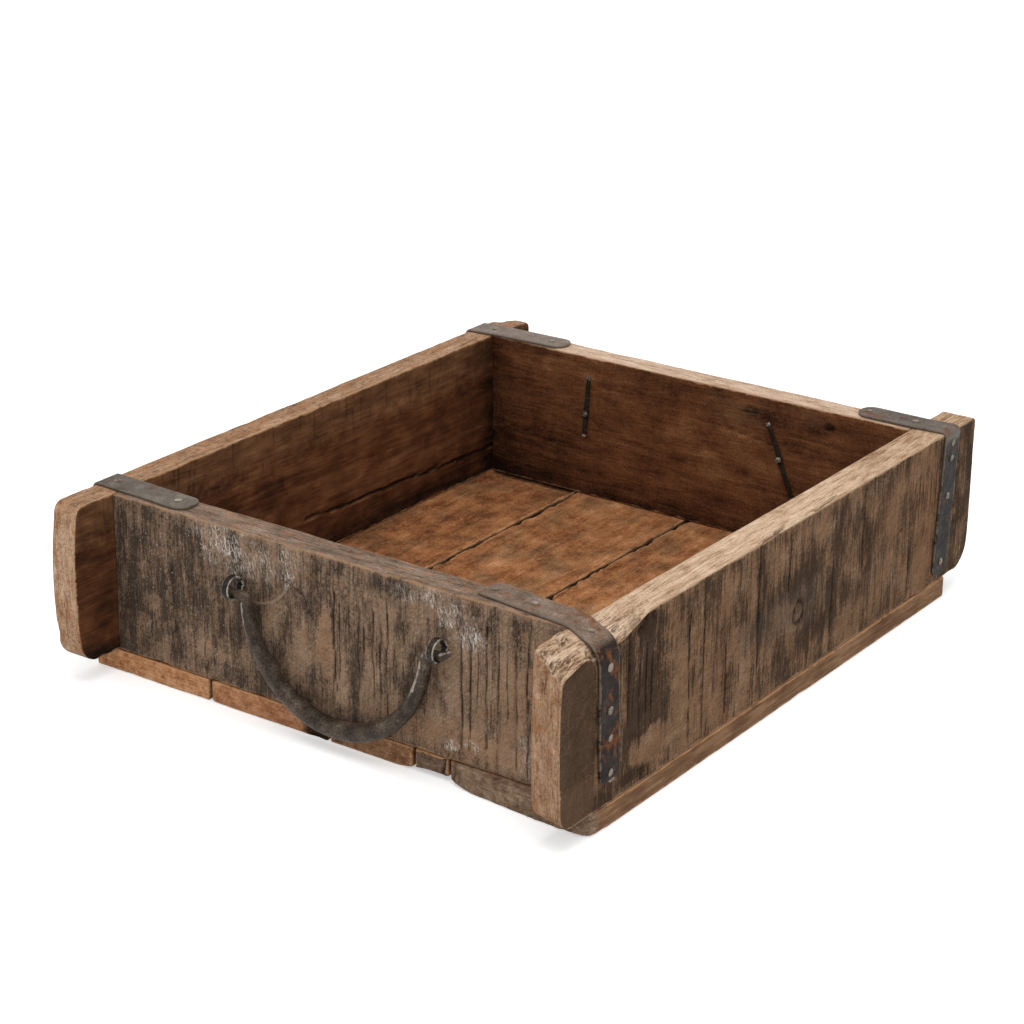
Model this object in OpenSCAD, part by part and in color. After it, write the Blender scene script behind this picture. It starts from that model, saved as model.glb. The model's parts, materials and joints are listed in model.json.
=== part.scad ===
// Wooden brick mould: an open tray of nailed boards with iron corner straps and a
// forged bail at each end, hung in split-pin eyes.
// X runs across the tray, Y along it from front to rear and Z up. The underside is
// Z = 0 and the origin is below the middle of the longer side board.

/* [Tray] */
// Width across the outer faces of the side boards
tray_w = 400; // [360:5:440]
// Length over the outer faces of the front and rear boards
tray_l = 439; // [400:1:480]
// Height of the side and end boards
board_h = 110; // [105:1:125]
// Thickness of the left side board
left_t = 20.5; // [18:0.5:24]
// Thickness of the right side board
right_t = 24.8; // [20:0.2:27]
// Thickness of the front board
front_t = 23.5; // [20:0.5:26]
// Thickness of the rear board
rear_t = 20.7; // [18:0.1:24]

/* [Ears] */
// How far each ear stands past its end board: front left, front right, rear left, rear right
ear_l = [37, 42, 30, 32.5]; // [18:0.5:48]
// Radius of each ear's top corner, in the same order
ear_top_r = [9, 5, 5, 6]; // [3:0.5:12]
// Radius of each ear's bottom corner, in the same order
ear_bottom_r = [10, 12, 12, 18]; // [6:1:20]
// How far each ear's end bows outwards, in the same order
ear_bow = [5, 2, 3, 1]; // [1:0.5:6]
// How far the front right ear's end runs back from its outer to its inner edge
ear_skew = 6; // [0:1:8]

/* [Worn corner] */
// Drop of the worn top at the outer edge of the front right corner
wear_drop = 8; // [4:1:12]
// Length of the worn top behind the front board's outer face
wear_l = 34; // [26:1:50]

/* [Floor] */
// Thickness of the floor planks
floor_t = 15.5; // [12:0.5:20]
// Widths of the five floor planks from left to right, the last one takes the rest
plank_w = [98.5, 95.5, 64.5, 25.5]; // [20:0.5:110]
// Gap between two floor planks
plank_gap = 2; // [1:0.5:4]
// How far the right-hand plank's front end stands out at its outer corner
plank_toe = 11; // [0:1:14]

/* [Corner straps] */
// Width of the strap iron
strap_w = 20.5; // [16:0.5:22]
// Thickness of the strap iron
strap_t = 1.8; // [1.2:0.1:2.5]
// Length of each strap's top arm: front left, front right, rear left, rear right
strap_top = [79, 94, 83, 70]; // [60:1:110]
// Height of each strap's lower end above the boards' bottom edge
strap_foot = [18, 17, 18, 6]; // [4:1:40]
// Radius of the bend over the board's outer edge
strap_bend = 3; // [2:0.5:4]

/* [Nails] */
// Shank radius of the strap nails
strap_nail_r = 1.3; // [1:0.1:1.6]
// Length of the strap nails under the head
strap_nail_l = 16; // [10:1:17]
// Head radius of the strap nails
strap_nail_head_r = 3.2; // [2.5:0.1:4]
// Head height of the strap nails
strap_nail_head_h = 1.2; // [0.8:0.1:1.8]
// Shank radius of the floor and end nails
nail_r = 1.7; // [1.3:0.1:2]
// Head radius of the floor and end nails
nail_head_r = 3.5; // [3:0.1:4.2]
// Head height of the floor and end nails
nail_head_h = 1.1; // [0.8:0.1:1.6]
// Length of the end nails
end_nail_l = 58; // [45:1:70]
// Length of the floor nails
floor_nail_l = 42; // [34:1:50]
// Distance of a floor nail from its plank's edge
floor_nail_in = 15.5; // [12:0.5:20]
// Space between the floor nails and the points of the end nails
floor_nail_clear = 8; // [6:1:14]

/* [Bails] */
// Radius of the bar in the middle of a bail
bail_r = 6; // [5:0.5:6.5]
// Radius of the bar where it turns into the pin
bail_neck_r = 3.4; // [3.1:0.1:4]
// Radius of a bail's pins
pin_r = 3; // [2.5:0.1:3]
// Radius of the elbow between bar and pin
elbow_r = 4.5; // [4:0.5:6]
// Height of the front bail's curve
front_bail_h = 74.5; // [66:0.5:78]
// Height of the rear bail's curve
rear_bail_h = 66; // [58:0.5:70]
// How far the front bail's curve sits off the middle of its eyes
front_bail_off = 1.8; // [0:0.2:3]
// Length of a bail's hooked tip
tip_l = 7; // [5:0.5:9]

/* [Eyes] */
// Distance between the front eyes
front_eye_span = 159.3; // [140:0.1:175]
// Distance between the rear eyes
rear_eye_span = 166.8; // [150:0.1:180]
// Height of the front eyes above the boards' bottom edge
front_eye_h = 74.5; // [72:0.5:80]
// Height of the rear eyes above the boards' bottom edge
rear_eye_h = 65.5; // [63:0.5:72]
// Middle of the front eyes, right of the tray's centre line
front_eye_x = 8.1; // [-10:0.1:15]
// Middle of the rear eyes, right of the tray's centre line
rear_eye_x = -8.8; // [-15:0.1:10]
// Outer radius of an eye's ring
ring_r = 8; // [7.6:0.1:9]
// Thickness of the eye's strip iron
eye_t = 1.5; // [1:0.1:1.5]
// Width of the eye's strip iron
eye_w = 5; // [4:0.5:5]
// Length of each eye's upper clinched leg: front left, front right, rear left, rear right
leg_up = [28, 27, 29, 28]; // [20:1:30]
// Length of each eye's lower clinched leg, in the same order
leg_down = [20, 24, 19, 31]; // [15:1:32]
// Tilt of each eye's clinched legs, in the same order
leg_tilt = [-6, 9, 4, -23]; // [-30:1:30]

/* [Fits] */
// Gap between an iron piece and the wood that it lies on
seat = 0.05; // [0.02:0.01:0.1]
// Radial clearance of a nail in its hole
nail_gap = 0.1; // [0.05:0.05:0.2]
// Gap between a pin and the ring that it hangs in, and between ring and board
run_gap = 0.3; // [0.2:0.05:0.5]

/* [Hidden] */
$fn = 64;
x_out = tray_w / 2;
x_left = left_t - x_out;
x_right = x_out - right_t;
y_front = (ear_l[1] - ear_l[3] - tray_l) / 2;
y_rear = y_front + tray_l;
z_board = floor_t;
z_top = floor_t + board_h;
big = 200;
eps = 0.01;

wear_angle = atan(wear_drop / right_t);
skew_angle = atan(ear_skew / right_t);
eye_hole_r = norm([eye_w / 2, eye_t]) + run_gap;
pin_off = ring_r + run_gap;
pin_sink = ring_r - eye_t - pin_r - run_gap;
y_front_pin = y_front - pin_off;
y_rear_pin = y_rear + pin_off;
z_front_pin = z_board + front_eye_h - pin_sink;
z_rear_pin = z_board + rear_eye_h - pin_sink;

// Left edge of each floor plank, and the right edge of the last one
plank_x = [for (i = [0:5]) i == 5 ? x_out + plank_gap : -x_out + i * plank_gap + sum_to(plank_w, i)];

// Middle line of each strap: y at the top arm's end, at the side board's inner edge,
// at the bend and at the foot, measured from the nearer end board's outer face inwards
strap_line = [[12.5, 15, 16, 16], [17.5, 9.7, 4.5, 8], [10, 12.5, 15, 13.5], [7.5, 7.5, 5.5, 13.5]];
// Nails in each strap's top arm, measured from the side board's outer face
strap_top_nails = [[12, 66], [57, 88], [16, 69], [28, 64]];
// Nails in each strap's side arm, measured down from the boards' top edge
strap_side_nails = [[20, 55, 87], [20, 47, 65, 88], [20, 55, 87], [7, 19, 47, 95]];
// The nail over the worn corner, measured from the side board's outer face
worn_nail = 14;
// Heights of the nails through the side boards, above the boards' bottom edge
front_end_nails = [17, 52, 86];
rear_end_nails = [29, 51, 83];
// Floor nails into the end boards: one near each edge of a plank, or one in the middle where
// the plank leaves room for no more between the points of the end nails
nail_reach = x_out - end_nail_l - floor_nail_clear;
floor_nail_x = [
  for (i = [0:4])
    let (
      a = max(plank_x[i] + floor_nail_in, -nail_reach),
      b = min(plank_x[i + 1] - plank_gap - floor_nail_in, nail_reach)
    )
      each (b - a < floor_nail_in ? [(a + b) / 2] : [a, b])
];
// Floor nails into the side boards, from the middle of the tray's length
floor_nail_y = [-150, -50, 50, 150];

function sum_to(v, n, i = 0) = i >= n ? 0 : v[i] + sum_to(v, n, i + 1);
function mix(a, b, k) = a + (b - a) * k;
function toward(p, q, s) = p + (q - p) * s / norm(q - p);

// Solid through a row of rings that have the same number of points each
module sweep(rings) {
  n = len(rings[0]);
  last = (len(rings) - 1) * n;
  sides = [
    for (i = [0:len(rings) - 2], j = [0:n - 1])
      let (a = i * n + j, b = i * n + (j + 1) % n)
        each [[a, b, b + n], [a, b + n, a + n]]
  ];
  caps = [[for (j = [0:n - 1]) n - 1 - j], [for (j = [0:n - 1]) last + j]];
  polyhedron([for (r = rings) each r], concat(sides, caps), convexity = 6);
}

// What is cut off a board to leave the bowed end of ear c with its round corners.
// The tip is at the origin, the board runs towards +Y and its bottom edge is at Z = 0.
module ear_waste(c, t) {
  r_top = ear_top_r[c];
  r_bottom = ear_bottom_r[c];
  dip = ear_bow[c];
  top = [for (a = [90:15:180]) [dip + r_top * (1 + cos(a)), board_h - r_top * (1 - sin(a))]];
  bottom = [for (a = [180:15:270]) [dip + r_bottom * (1 + cos(a)), r_bottom * (1 + sin(a))]];
  bow = [for (k = [0.2:0.15:0.8]) [dip * pow(2 * k - 1, 2), board_h * (1 - k)]];
  outside = [[dip + r_bottom, -1], [-big, -1], [-big, board_h + 1], [dip + r_top, board_h + 1]];
  rotate([90, 0, 90])
    linear_extrude(t)
      polygon(concat(top, bow, bottom, outside));
}

// Nail with its head's underside at the origin and its shank down -Z
module nail(r, l, head_r, head_h, gap = 0) {
  translate([0, 0, -l - gap])
    cylinder(r = r + gap, h = l + gap + eps);
  if (gap == 0)
    cylinder(r1 = head_r, r2 = head_r * 0.7, h = head_h);
}

// Nail whose flat head is sunk in the wood, with the head's top at the origin
module sunk_nail(l, gap = 0) {
  translate([0, 0, -nail_head_h - (l + gap)])
    cylinder(r = nail_r + gap, h = l + gap + eps);
  translate([0, 0, -nail_head_h - gap])
    cylinder(r = nail_head_r + gap, h = nail_head_h + gap + (gap > 0 ? 1 : 0));
}

// Corners 0 to 3 are front left, front right, rear left and rear right
function side_of(c) = c % 2 == 0 ? -1 : 1;
function side_t(c) = c % 2 == 0 ? left_t : right_t;
function drop_of(c) = c == 1 ? wear_drop : 0;
function in_from(c, d) = c < 2 ? y_front + d : y_rear - d;

// Points on the underside of a strap's middle line, with X measured as if on the right
function strap_points(c) =
  let (
    line = strap_line[c],
    drop = drop_of(c),
    inner = x_out - side_t(c),
    start = x_out - strap_top[c],
    slope = atan(drop / side_t(c)),
    lift = seat,
    z_edge = z_top - drop,
    bend = strap_bend
  ) [
    [start, in_from(c, line[0]), z_top + lift],
    [inner, in_from(c, line[1]), z_top + lift],
    [x_out - bend, in_from(c, line[2]), z_edge + bend * tan(slope) + lift],
    [x_out - bend * 0.25 + lift, in_from(c, line[2]), z_edge - bend * 0.3 + lift],
    [x_out + lift, in_from(c, line[2]), z_edge - bend],
    [x_out + lift, in_from(c, line[3]), z_board + strap_foot[c]]
  ];

// Stations along the strap: the middle line with closer points where its ends round off
tip_steps = [0.4, 1.5, 3.5, 6.5];
function half_width(s) = s >= strap_w / 2 ? strap_w / 2 : sqrt(pow(strap_w / 2, 2) - pow(strap_w / 2 - s, 2));
function strap_stations(c) =
  let (p = strap_points(c), n = len(p) - 1, r = strap_w / 2)
    concat(
      [for (s = concat(tip_steps, [r])) [toward(p[0], p[1], s), half_width(s)]],
      [for (i = [1:n - 1]) [p[i], r]],
      [for (i = [0:4]) let (s = concat(tip_steps, [r])[4 - i]) [toward(p[n], p[n - 1], s), half_width(s)]]
    );
function flat_normal(a, b) = let (d = [b[0] - a[0], b[2] - a[2]]) [-d[1], d[0]] / norm(d);
function mitre(s, i) =
  let (
    before = flat_normal(s[max(i - 1, 0)][0], s[max(i, 1)][0]),
    after = flat_normal(s[min(i, len(s) - 2)][0], s[min(i + 1, len(s) - 1)][0]),
    m = (before + after) / (1 + before * after)
  ) [m[0], 0, m[1]];

// Place children at a nail's seat in a strap's top arm, on its worn part or in its side arm
module at_top_nail(c, d) {
  p = strap_points(c);
  k = (x_out - d - p[0][0]) / (p[1][0] - p[0][0]);
  on_side_board = d < side_t(c);
  y = on_side_board ? mix(p[2][1], p[1][1], (d - strap_bend) / (side_t(c) - strap_bend)) : mix(p[0][1], p[1][1], k);
  slope = on_side_board ? atan(drop_of(c) / side_t(c)) : 0;
  z = z_top - (on_side_board ? (side_t(c) - d) * tan(slope) : 0);
  translate([side_of(c) * (x_out - d), y, z])
    rotate([0, side_of(c) * slope, 0])
      translate([0, 0, seat + strap_t + seat])
        children();
}

module at_side_nail(c, d) {
  p = strap_points(c);
  z = z_top - d;
  k = (p[4][2] - z) / (p[4][2] - p[5][2]);
  translate([side_of(c) * (x_out + seat + strap_t + seat), mix(p[4][1], p[5][1], k), z])
    rotate([0, side_of(c) * 90, 0])
      children();
}

// All nails of one strap, or with a gap the holes for them
module strap_nails(c, gap = 0) {
  tops = concat(strap_top_nails[c], drop_of(c) > 0 ? [worn_nail] : []);
  for (d = tops)
    at_top_nail(c, d)
      nail(strap_nail_r, strap_nail_l, strap_nail_head_r, strap_nail_head_h, gap);
  for (d = strap_side_nails[c])
    at_side_nail(c, d)
      nail(strap_nail_r, strap_nail_l, strap_nail_head_r, strap_nail_head_h, gap);
}

module strap(c) {
  s = strap_stations(c);
  rings = [
    for (i = [0:len(s) - 1])
      let (p = s[i][0], w = [0, s[i][1], 0], up = mitre(s, i) * strap_t)
        [p - w, p + w, p + w + up, p - w + up]
  ];
  color([0.27, 0.26, 0.26])
    difference() {
      mirror([side_of(c) < 0 ? 1 : 0, 0, 0])
        sweep(rings);
      strap_nails(c, nail_gap);
    }
}

// The bevel that a side board's outer top edge has worn to under a strap's bend
module bend_relief(c) {
  p = strap_points(c);
  above = strap_bend + drop_of(c) + 1;
  mirror([side_of(c) < 0 ? 1 : 0, 0, 0])
    translate([0, p[3][1] + strap_w, 0])
      rotate([90, 0, 0])
        linear_extrude(2 * strap_w)
          polygon([
            [p[2][0], p[2][2] - seat], [x_out, p[4][2]], [x_out + above, p[4][2]],
            [x_out + above, p[2][2] + above], [p[2][0], p[2][2] + above]
          ]);
}

// Nails through one side board into the ends of the front and rear boards
module end_nails(side, gap = 0) {
  for (z = front_end_nails)
    translate([side * x_out, y_front + front_t / 2, z_board + z])
      rotate([0, side * 90, 0])
        sunk_nail(end_nail_l, gap);
  for (z = rear_end_nails)
    translate([side * x_out, y_rear - rear_t / 2, z_board + z])
      rotate([0, side * 90, 0])
        sunk_nail(end_nail_l, gap);
}

module floor_nail_set(gap = 0) {
  for (x = floor_nail_x, y = [y_front + front_t / 2, y_rear - rear_t / 2])
    translate([x, y, 0])
      mirror([0, 0, 1])
        sunk_nail(floor_nail_l, gap);
  for (x = [(x_left - x_out) / 2, (x_right + x_out) / 2], y = floor_nail_y)
    translate([x, (y_front + y_rear) / 2 + y, 0])
      mirror([0, 0, 1])
        sunk_nail(floor_nail_l, gap);
}

module side_board_left() {
  t = left_t;
  color([0.5, 0.36, 0.25])
    difference() {
      translate([-x_out, y_front - ear_l[0], z_board])
        cube([t, ear_l[0] + tray_l + ear_l[2], board_h]);
      translate([-x_out - 1, y_front - ear_l[0], z_board])
        ear_waste(0, t + 2);
      translate([-x_out - 1, y_rear + ear_l[2], z_board])
        mirror([0, 1, 0])
          ear_waste(2, t + 2);
      bend_relief(0);
      bend_relief(2);
      strap_nails(0, nail_gap);
      strap_nails(2, nail_gap);
      end_nails(-1, nail_gap);
      floor_nail_set(nail_gap);
    }
}

// The worn top of the front right corner, sloping down towards the outer face
module worn_top() {
  l = ear_l[1] + wear_l;
  translate([x_right, y_front - ear_l[1] - 1, z_top])
    rotate([0, wear_angle, 0])
      difference() {
        translate([-1, 0, 0])
          cube([right_t * 2, l + right_t, wear_drop * 3]);
        translate([0, l, -1])
          rotate([0, 0, 25])
            translate([-right_t, 0, 0])
              cube([right_t * 4, right_t * 3, wear_drop * 4]);
      }
}

module side_board_right() {
  t = right_t;
  color([0.53, 0.42, 0.33])
    difference() {
      translate([x_right, y_front - ear_l[1], z_board])
        cube([t, ear_l[1] + tray_l + ear_l[3], board_h]);
      translate([x_out, y_front - ear_l[1], z_board])
        rotate([0, 0, -skew_angle])
          translate([-2 * t, 0, 0])
            ear_waste(1, 3 * t);
      translate([x_right - 1, y_rear + ear_l[3], z_board])
        mirror([0, 1, 0])
          ear_waste(3, t + 2);
      worn_top();
      bend_relief(1);
      bend_relief(3);
      strap_nails(1, nail_gap);
      strap_nails(3, nail_gap);
      end_nails(1, nail_gap);
      floor_nail_set(nail_gap);
    }
}

module front_board() {
  color([0.36, 0.29, 0.24])
    difference() {
      translate([x_left, y_front, z_board])
        cube([x_right - x_left, front_t, board_h]);
      eye_holes(front_eye_x, front_eye_span, front_eye_h, y_front);
      strap_nails(0, nail_gap);
      strap_nails(1, nail_gap);
      end_nails(-1, nail_gap);
      end_nails(1, nail_gap);
      floor_nail_set(nail_gap);
    }
}

module rear_board() {
  color([0.34, 0.21, 0.14])
    difference() {
      translate([x_left, y_rear - rear_t, z_board])
        cube([x_right - x_left, rear_t, board_h]);
      eye_holes(rear_eye_x, rear_eye_span, rear_eye_h, y_rear);
      strap_nails(2, nail_gap);
      strap_nails(3, nail_gap);
      end_nails(-1, nail_gap);
      end_nails(1, nail_gap);
      floor_nail_set(nail_gap);
    }
}

// Floor planks run from front to rear. The last one's front end curves out to its toe.
module floor_plank(i) {
  x0 = plank_x[i];
  x1 = plank_x[i + 1] - plank_gap;
  toe = i == 4 ? plank_toe : 0;
  color(i == 4 ? [0.47, 0.37, 0.29] : [0.56, 0.35, 0.22])
    difference() {
      linear_extrude(floor_t)
        polygon(concat([for (k = [0:0.25:1]) [mix(x0, x1, k), y_front - toe * sqrt(k)]], [[x1, y_rear], [x0, y_rear]]));
      floor_nail_set(nail_gap);
    }
}

module eye_holes(mid, span, h, y) {
  for (side = [-1, 1])
    translate([mid + side * span / 2, y, z_board + h])
      rotate([90, 0, 0])
        cylinder(r = eye_hole_r, h = big, center = true);
}

// Split pin with the ring outside the board and its legs clinched over on the inside.
// The board's outer face is at Y = 0 and the board runs towards +Y.
module eye(t, up, down, tilt) {
  w = eye_w / 2;
  color([0.2, 0.19, 0.19]) {
    translate([0, -pin_off, 0])
      rotate([0, 90, 0])
        difference() {
          cylinder(r = ring_r, h = eye_w, center = true);
          cylinder(r = ring_r - eye_t, h = eye_w + 2, center = true);
        }
    translate([-w, -pin_off + ring_r - eye_t / 2, -eye_t])
      cube([eye_w, t + seat + run_gap + 1.5 * eye_t, 2 * eye_t]);
    translate([0, t + seat + eye_t, 0])
      rotate([90, tilt, 0])
        linear_extrude(eye_t)
          polygon([[-w, 0], [-w * 0.45, -down], [w * 0.45, -down], [w, 0], [w * 0.45, up], [-w * 0.45, up]]);
  }
}

module front_eye(c) {
  translate([front_eye_x + side_of(c) * front_eye_span / 2, y_front, z_board + front_eye_h])
    eye(front_t, leg_up[c], leg_down[c], leg_tilt[c]);
}

module rear_eye(c) {
  translate([rear_eye_x + side_of(c) * rear_eye_span / 2, y_rear, z_board + rear_eye_h])
    mirror([0, 1, 0])
      eye(rear_t, leg_up[c], leg_down[c], leg_tilt[c]);
}

// Bail about its pin axis, which is the X axis: half an ellipse of tapering bar that
// hangs down, an elbow at each end and a pin with an upturned tip.
flare = 6;
bar_sides = 16;
function bar_radius(t) = mix(bail_neck_r, bail_r, pow(sin(t), 0.7));
function bar_ring(p, heading, r) =
  let (side = [-sin(heading), 0, cos(heading)])
    [for (j = [0:bar_sides - 1]) p + r * (side * cos(j * 360 / bar_sides) + [0, 1, 0] * sin(j * 360 / bar_sides))];

module bail(span, h, off) {
  a = span / 2 - eye_w / 2 - 2 * run_gap - elbow_r - off;
  turn = atan(a * tan(flare) / h);
  z_mid = h * sin(flare) - elbow_r * (1 - sin(turn));
  x_end = a * cos(flare);
  ring_face = span / 2 + eye_w / 2 + 2 * run_gap;
  left_elbow = [
    for (k = [0:3])
      let (q = k * (90 - turn) / 4, heading = -q)
        bar_ring(
          [off - x_end - elbow_r * (cos(turn) - sin(q)), 0, -elbow_r * (1 - cos(q))],
          heading, mix(pin_r + eps, bail_neck_r, k / 4))
  ];
  curve = [
    for (t = [flare:(180 - 2 * flare) / 24:180 - flare + eps])
      let (heading = atan2(-h * cos(t), a * sin(t)))
        bar_ring([off - a * cos(t), 0, z_mid - h * sin(t)], heading, bar_radius(t))
  ];
  right_elbow = [
    for (k = [3:-1:0])
      let (q = k * (90 - turn) / 4, heading = q)
        bar_ring(
          [off + x_end + elbow_r * (cos(turn) - sin(q)), 0, -elbow_r * (1 - cos(q))],
          heading, mix(pin_r + eps, bail_neck_r, k / 4))
  ];
  x_pin_left = off - x_end - elbow_r * cos(turn);
  x_pin_right = off + x_end + elbow_r * cos(turn);
  color([0.23, 0.22, 0.22]) {
    sweep(concat(left_elbow, curve, right_elbow));
    translate([-ring_face, 0, 0])
      rotate([0, 90, 0])
        cylinder(r = pin_r, h = x_pin_left + ring_face + eps);
    translate([x_pin_right - eps, 0, 0])
      rotate([0, 90, 0])
        cylinder(r = pin_r, h = ring_face - x_pin_right + eps);
    for (side = [-1, 1])
      translate([side * ring_face, 0, 0]) {
        sphere(r = pin_r);
        rotate([0, side * 60, 0])
          cylinder(r1 = pin_r, r2 = pin_r * 0.6, h = tip_l);
      }
  }
}

module front_bail() {
  translate([front_eye_x, y_front_pin, z_front_pin])
    bail(front_eye_span, front_bail_h, front_bail_off);
}

module rear_bail() {
  translate([rear_eye_x, y_rear_pin, z_rear_pin])
    bail(rear_eye_span, rear_bail_h, 0);
}

module nail_colour() {
  color([0.33, 0.27, 0.23])
    children();
}

side_board_left();
side_board_right();
front_board();
rear_board();
floor_plank(0);  // floor_plank_1
floor_plank(1);  // floor_plank_2
floor_plank(2);  // floor_plank_3
floor_plank(3);  // floor_plank_4
floor_plank(4);  // floor_plank_5
strap(0);  // corner_strap_front_left
strap(1);  // corner_strap_front_right
strap(2);  // corner_strap_rear_left
strap(3);  // corner_strap_rear_right
nail_colour() strap_nails(0);  // strap_nails_front_left
nail_colour() strap_nails(1);  // strap_nails_front_right
nail_colour() strap_nails(2);  // strap_nails_rear_left
nail_colour() strap_nails(3);  // strap_nails_rear_right
nail_colour() end_nails(-1);  // end_nails_left
nail_colour() end_nails(1);  // end_nails_right
nail_colour() floor_nail_set();  // floor_nails
front_bail();
rear_bail();
front_eye(0);  // front_eye_left
front_eye(1);  // front_eye_right
rear_eye(2);  // rear_eye_left
rear_eye(3);  // rear_eye_right
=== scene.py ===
"""Looks of the wooden brick mould: worn boards, floor planks, corner straps, nails, eyes and
bails as detailed meshes with node materials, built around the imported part."""

import json
import math

import bpy
import numpy as np
from mathutils import Matrix, Vector


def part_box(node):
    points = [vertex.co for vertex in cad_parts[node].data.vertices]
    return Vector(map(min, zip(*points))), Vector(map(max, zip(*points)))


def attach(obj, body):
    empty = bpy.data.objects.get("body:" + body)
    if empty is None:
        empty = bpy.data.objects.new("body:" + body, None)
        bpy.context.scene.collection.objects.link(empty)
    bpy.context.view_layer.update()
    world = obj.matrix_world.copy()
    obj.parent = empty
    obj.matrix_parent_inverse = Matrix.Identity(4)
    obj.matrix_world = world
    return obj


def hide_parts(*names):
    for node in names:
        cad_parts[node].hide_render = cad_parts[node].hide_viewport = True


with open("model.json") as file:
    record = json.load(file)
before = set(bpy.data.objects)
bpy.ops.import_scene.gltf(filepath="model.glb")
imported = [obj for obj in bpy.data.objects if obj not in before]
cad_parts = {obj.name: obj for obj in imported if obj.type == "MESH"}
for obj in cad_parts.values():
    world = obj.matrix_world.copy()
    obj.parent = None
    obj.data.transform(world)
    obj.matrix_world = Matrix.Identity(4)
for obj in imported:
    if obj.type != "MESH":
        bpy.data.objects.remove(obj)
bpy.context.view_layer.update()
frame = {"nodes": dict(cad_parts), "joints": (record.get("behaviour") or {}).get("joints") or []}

MM = 0.001
X, Y, Z = 0, 1, 2
# A board's own axes: along the grain, across it and through its thickness
SIDE_AXES = (Y, Z, X)
END_AXES = (X, Z, Y)
PLANK_AXES = (Y, X, Z)
RIGHT = np.array([1.0, 0.0, 0.0])
REARWARDS = np.array([0.0, 1.0, 0.0])


def edges(node):
    """Lowest and highest corner of a CAD node as two arrays"""
    lo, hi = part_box(node)
    return np.array(lo), np.array(hi)


# Places in metres: the tray's outer side, the side boards' inner faces, the end boards' outer
# and inner faces, and the boards' lower and upper edges
X_LEFT = edges("side_board_left")[1][X]
X_RIGHT, X_OUT = (corner[X] for corner in edges("side_board_right"))
Y_FRONT, Y_FRONT_INNER = (corner[Y] for corner in edges("front_board"))
Y_REAR_INNER, Y_REAR = (corner[Y] for corner in edges("rear_board"))
Z_BOARD, Z_TOP = (corner[Z] for corner in edges("front_board"))
BOARD_H = Z_TOP - Z_BOARD


# Noise on arrays of points

def lattice(cell, seed):
    """A repeatable number from 0 to 1 for each whole-numbered cell"""
    n = cell[..., 0] * 73856093 + cell[..., 1] * 19349663 + cell[..., 2] * 83492791 + seed * 2654435
    n = n & 0xFFFFFFFF
    n = ((n ^ (n >> 13)) * 1274126177) & 0xFFFFFFFF
    n = ((n ^ (n >> 15)) * 668265263) & 0xFFFFFFFF
    return ((n ^ (n >> 16)) & 0xFFFFF) / 0xFFFFF


def soft_noise(points, size, seed=0):
    """Smooth noise from -1 to 1, where size is a cell's size along X, Y and Z in mm"""
    at = points / (np.asarray(size, float) * MM) + seed * 17.13
    cell = np.floor(at).astype(np.int64)
    part = at - cell
    part = part * part * (3 - 2 * part)
    total = np.zeros(len(points))
    for corner in np.ndindex(2, 2, 2):
        corner = np.array(corner)
        weight = np.where(corner == 1, part, 1 - part).prod(axis=1)
        total += weight * lattice(cell + corner, seed)
    return total * 2 - 1


def rough_noise(points, size, seed=0, octaves=3):
    """Layers of soft noise, each half as large and half as strong as the one before"""
    size = np.asarray(size, float)
    layers = [soft_noise(points, size / 2**i, seed + i * 31) / 2**i for i in range(octaves)]
    return sum(layers) / sum(0.5**i for i in range(octaves))


def step_up(value, low, high):
    """0 below low, 1 above high and smooth between them"""
    k = np.clip((value - low) / (high - low), 0, 1)
    return k * k * (3 - 2 * k)


def window(value, low, high, soft):
    """1 between low and high, fading to 0 over soft on either side"""
    return step_up(value, low - soft, low + soft) * (1 - step_up(value, high - soft, high + soft))


# Mesh helpers

def unit(vectors):
    """The vectors at a length of 1, or of 0 where they have none"""
    return vectors / np.maximum(np.linalg.norm(vectors, axis=-1, keepdims=True), 1e-12)


def vertex_normals(points, quads):
    a, b, c, d = (points[quads[:, i]] for i in range(4))
    flat = np.cross(c - a, d - b)
    total = np.zeros_like(points)
    for i in range(4):
        for axis in range(3):
            total[:, axis] += np.bincount(quads[:, i], flat[:, axis], len(points))
    return unit(total)


def put_in_scene(name, data):
    made = bpy.data.objects.new(name, data)
    bpy.context.scene.collection.objects.link(made)
    return made


def new_object(name, points, quads, masks=None):
    """Mesh object with smooth faces and one float attribute for each mask"""
    mesh = bpy.data.meshes.new(name)
    mesh.from_pydata(points.tolist(), [], quads.tolist())
    mesh.polygons.foreach_set("use_smooth", np.ones(len(mesh.polygons), bool))
    for key, values in (masks or {}).items():
        layer = mesh.attributes.new(key, "FLOAT", "POINT")
        layer.data.foreach_set("value", np.asarray(values, np.float32))
    mesh.validate()
    mesh.update()
    return put_in_scene(name, mesh)


def place(piece, body, slot, material, *nodes):
    """Puts a piece on its body in place of CAD nodes, with its material. slot is not used."""
    piece.data.materials.append(material)
    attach(piece, body)
    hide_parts(*nodes)


def joined(parts):
    """Points, quads and rim masks of several meshes as one"""
    points, quads, rims, start = [], [], [], 0
    for p, q, rim in parts:
        points.append(p)
        quads.append(q + start)
        rims.append(rim)
        start += len(p)
    return np.concatenate(points), np.concatenate(quads), np.concatenate(rims)


# Boards

FINE_STEP = 0.7 * MM
GROWTH = 1.3


def graded(low, high, step):
    """Grid lines from low to high that lie closer together near both ends"""
    margin, size = [0.0], FINE_STEP
    while size < step and margin[-1] + size < (high - low) / 3:
        margin.append(margin[-1] + size)
        size *= GROWTH
    margin = np.array(margin)
    count = max(int(round((high - low - 2 * margin[-1]) / step)), 1)
    middle = np.linspace(low + margin[-1], high - margin[-1], count + 1)
    return np.concatenate([low + margin[:-1], middle, (high - margin[:-1])[::-1]])


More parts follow.
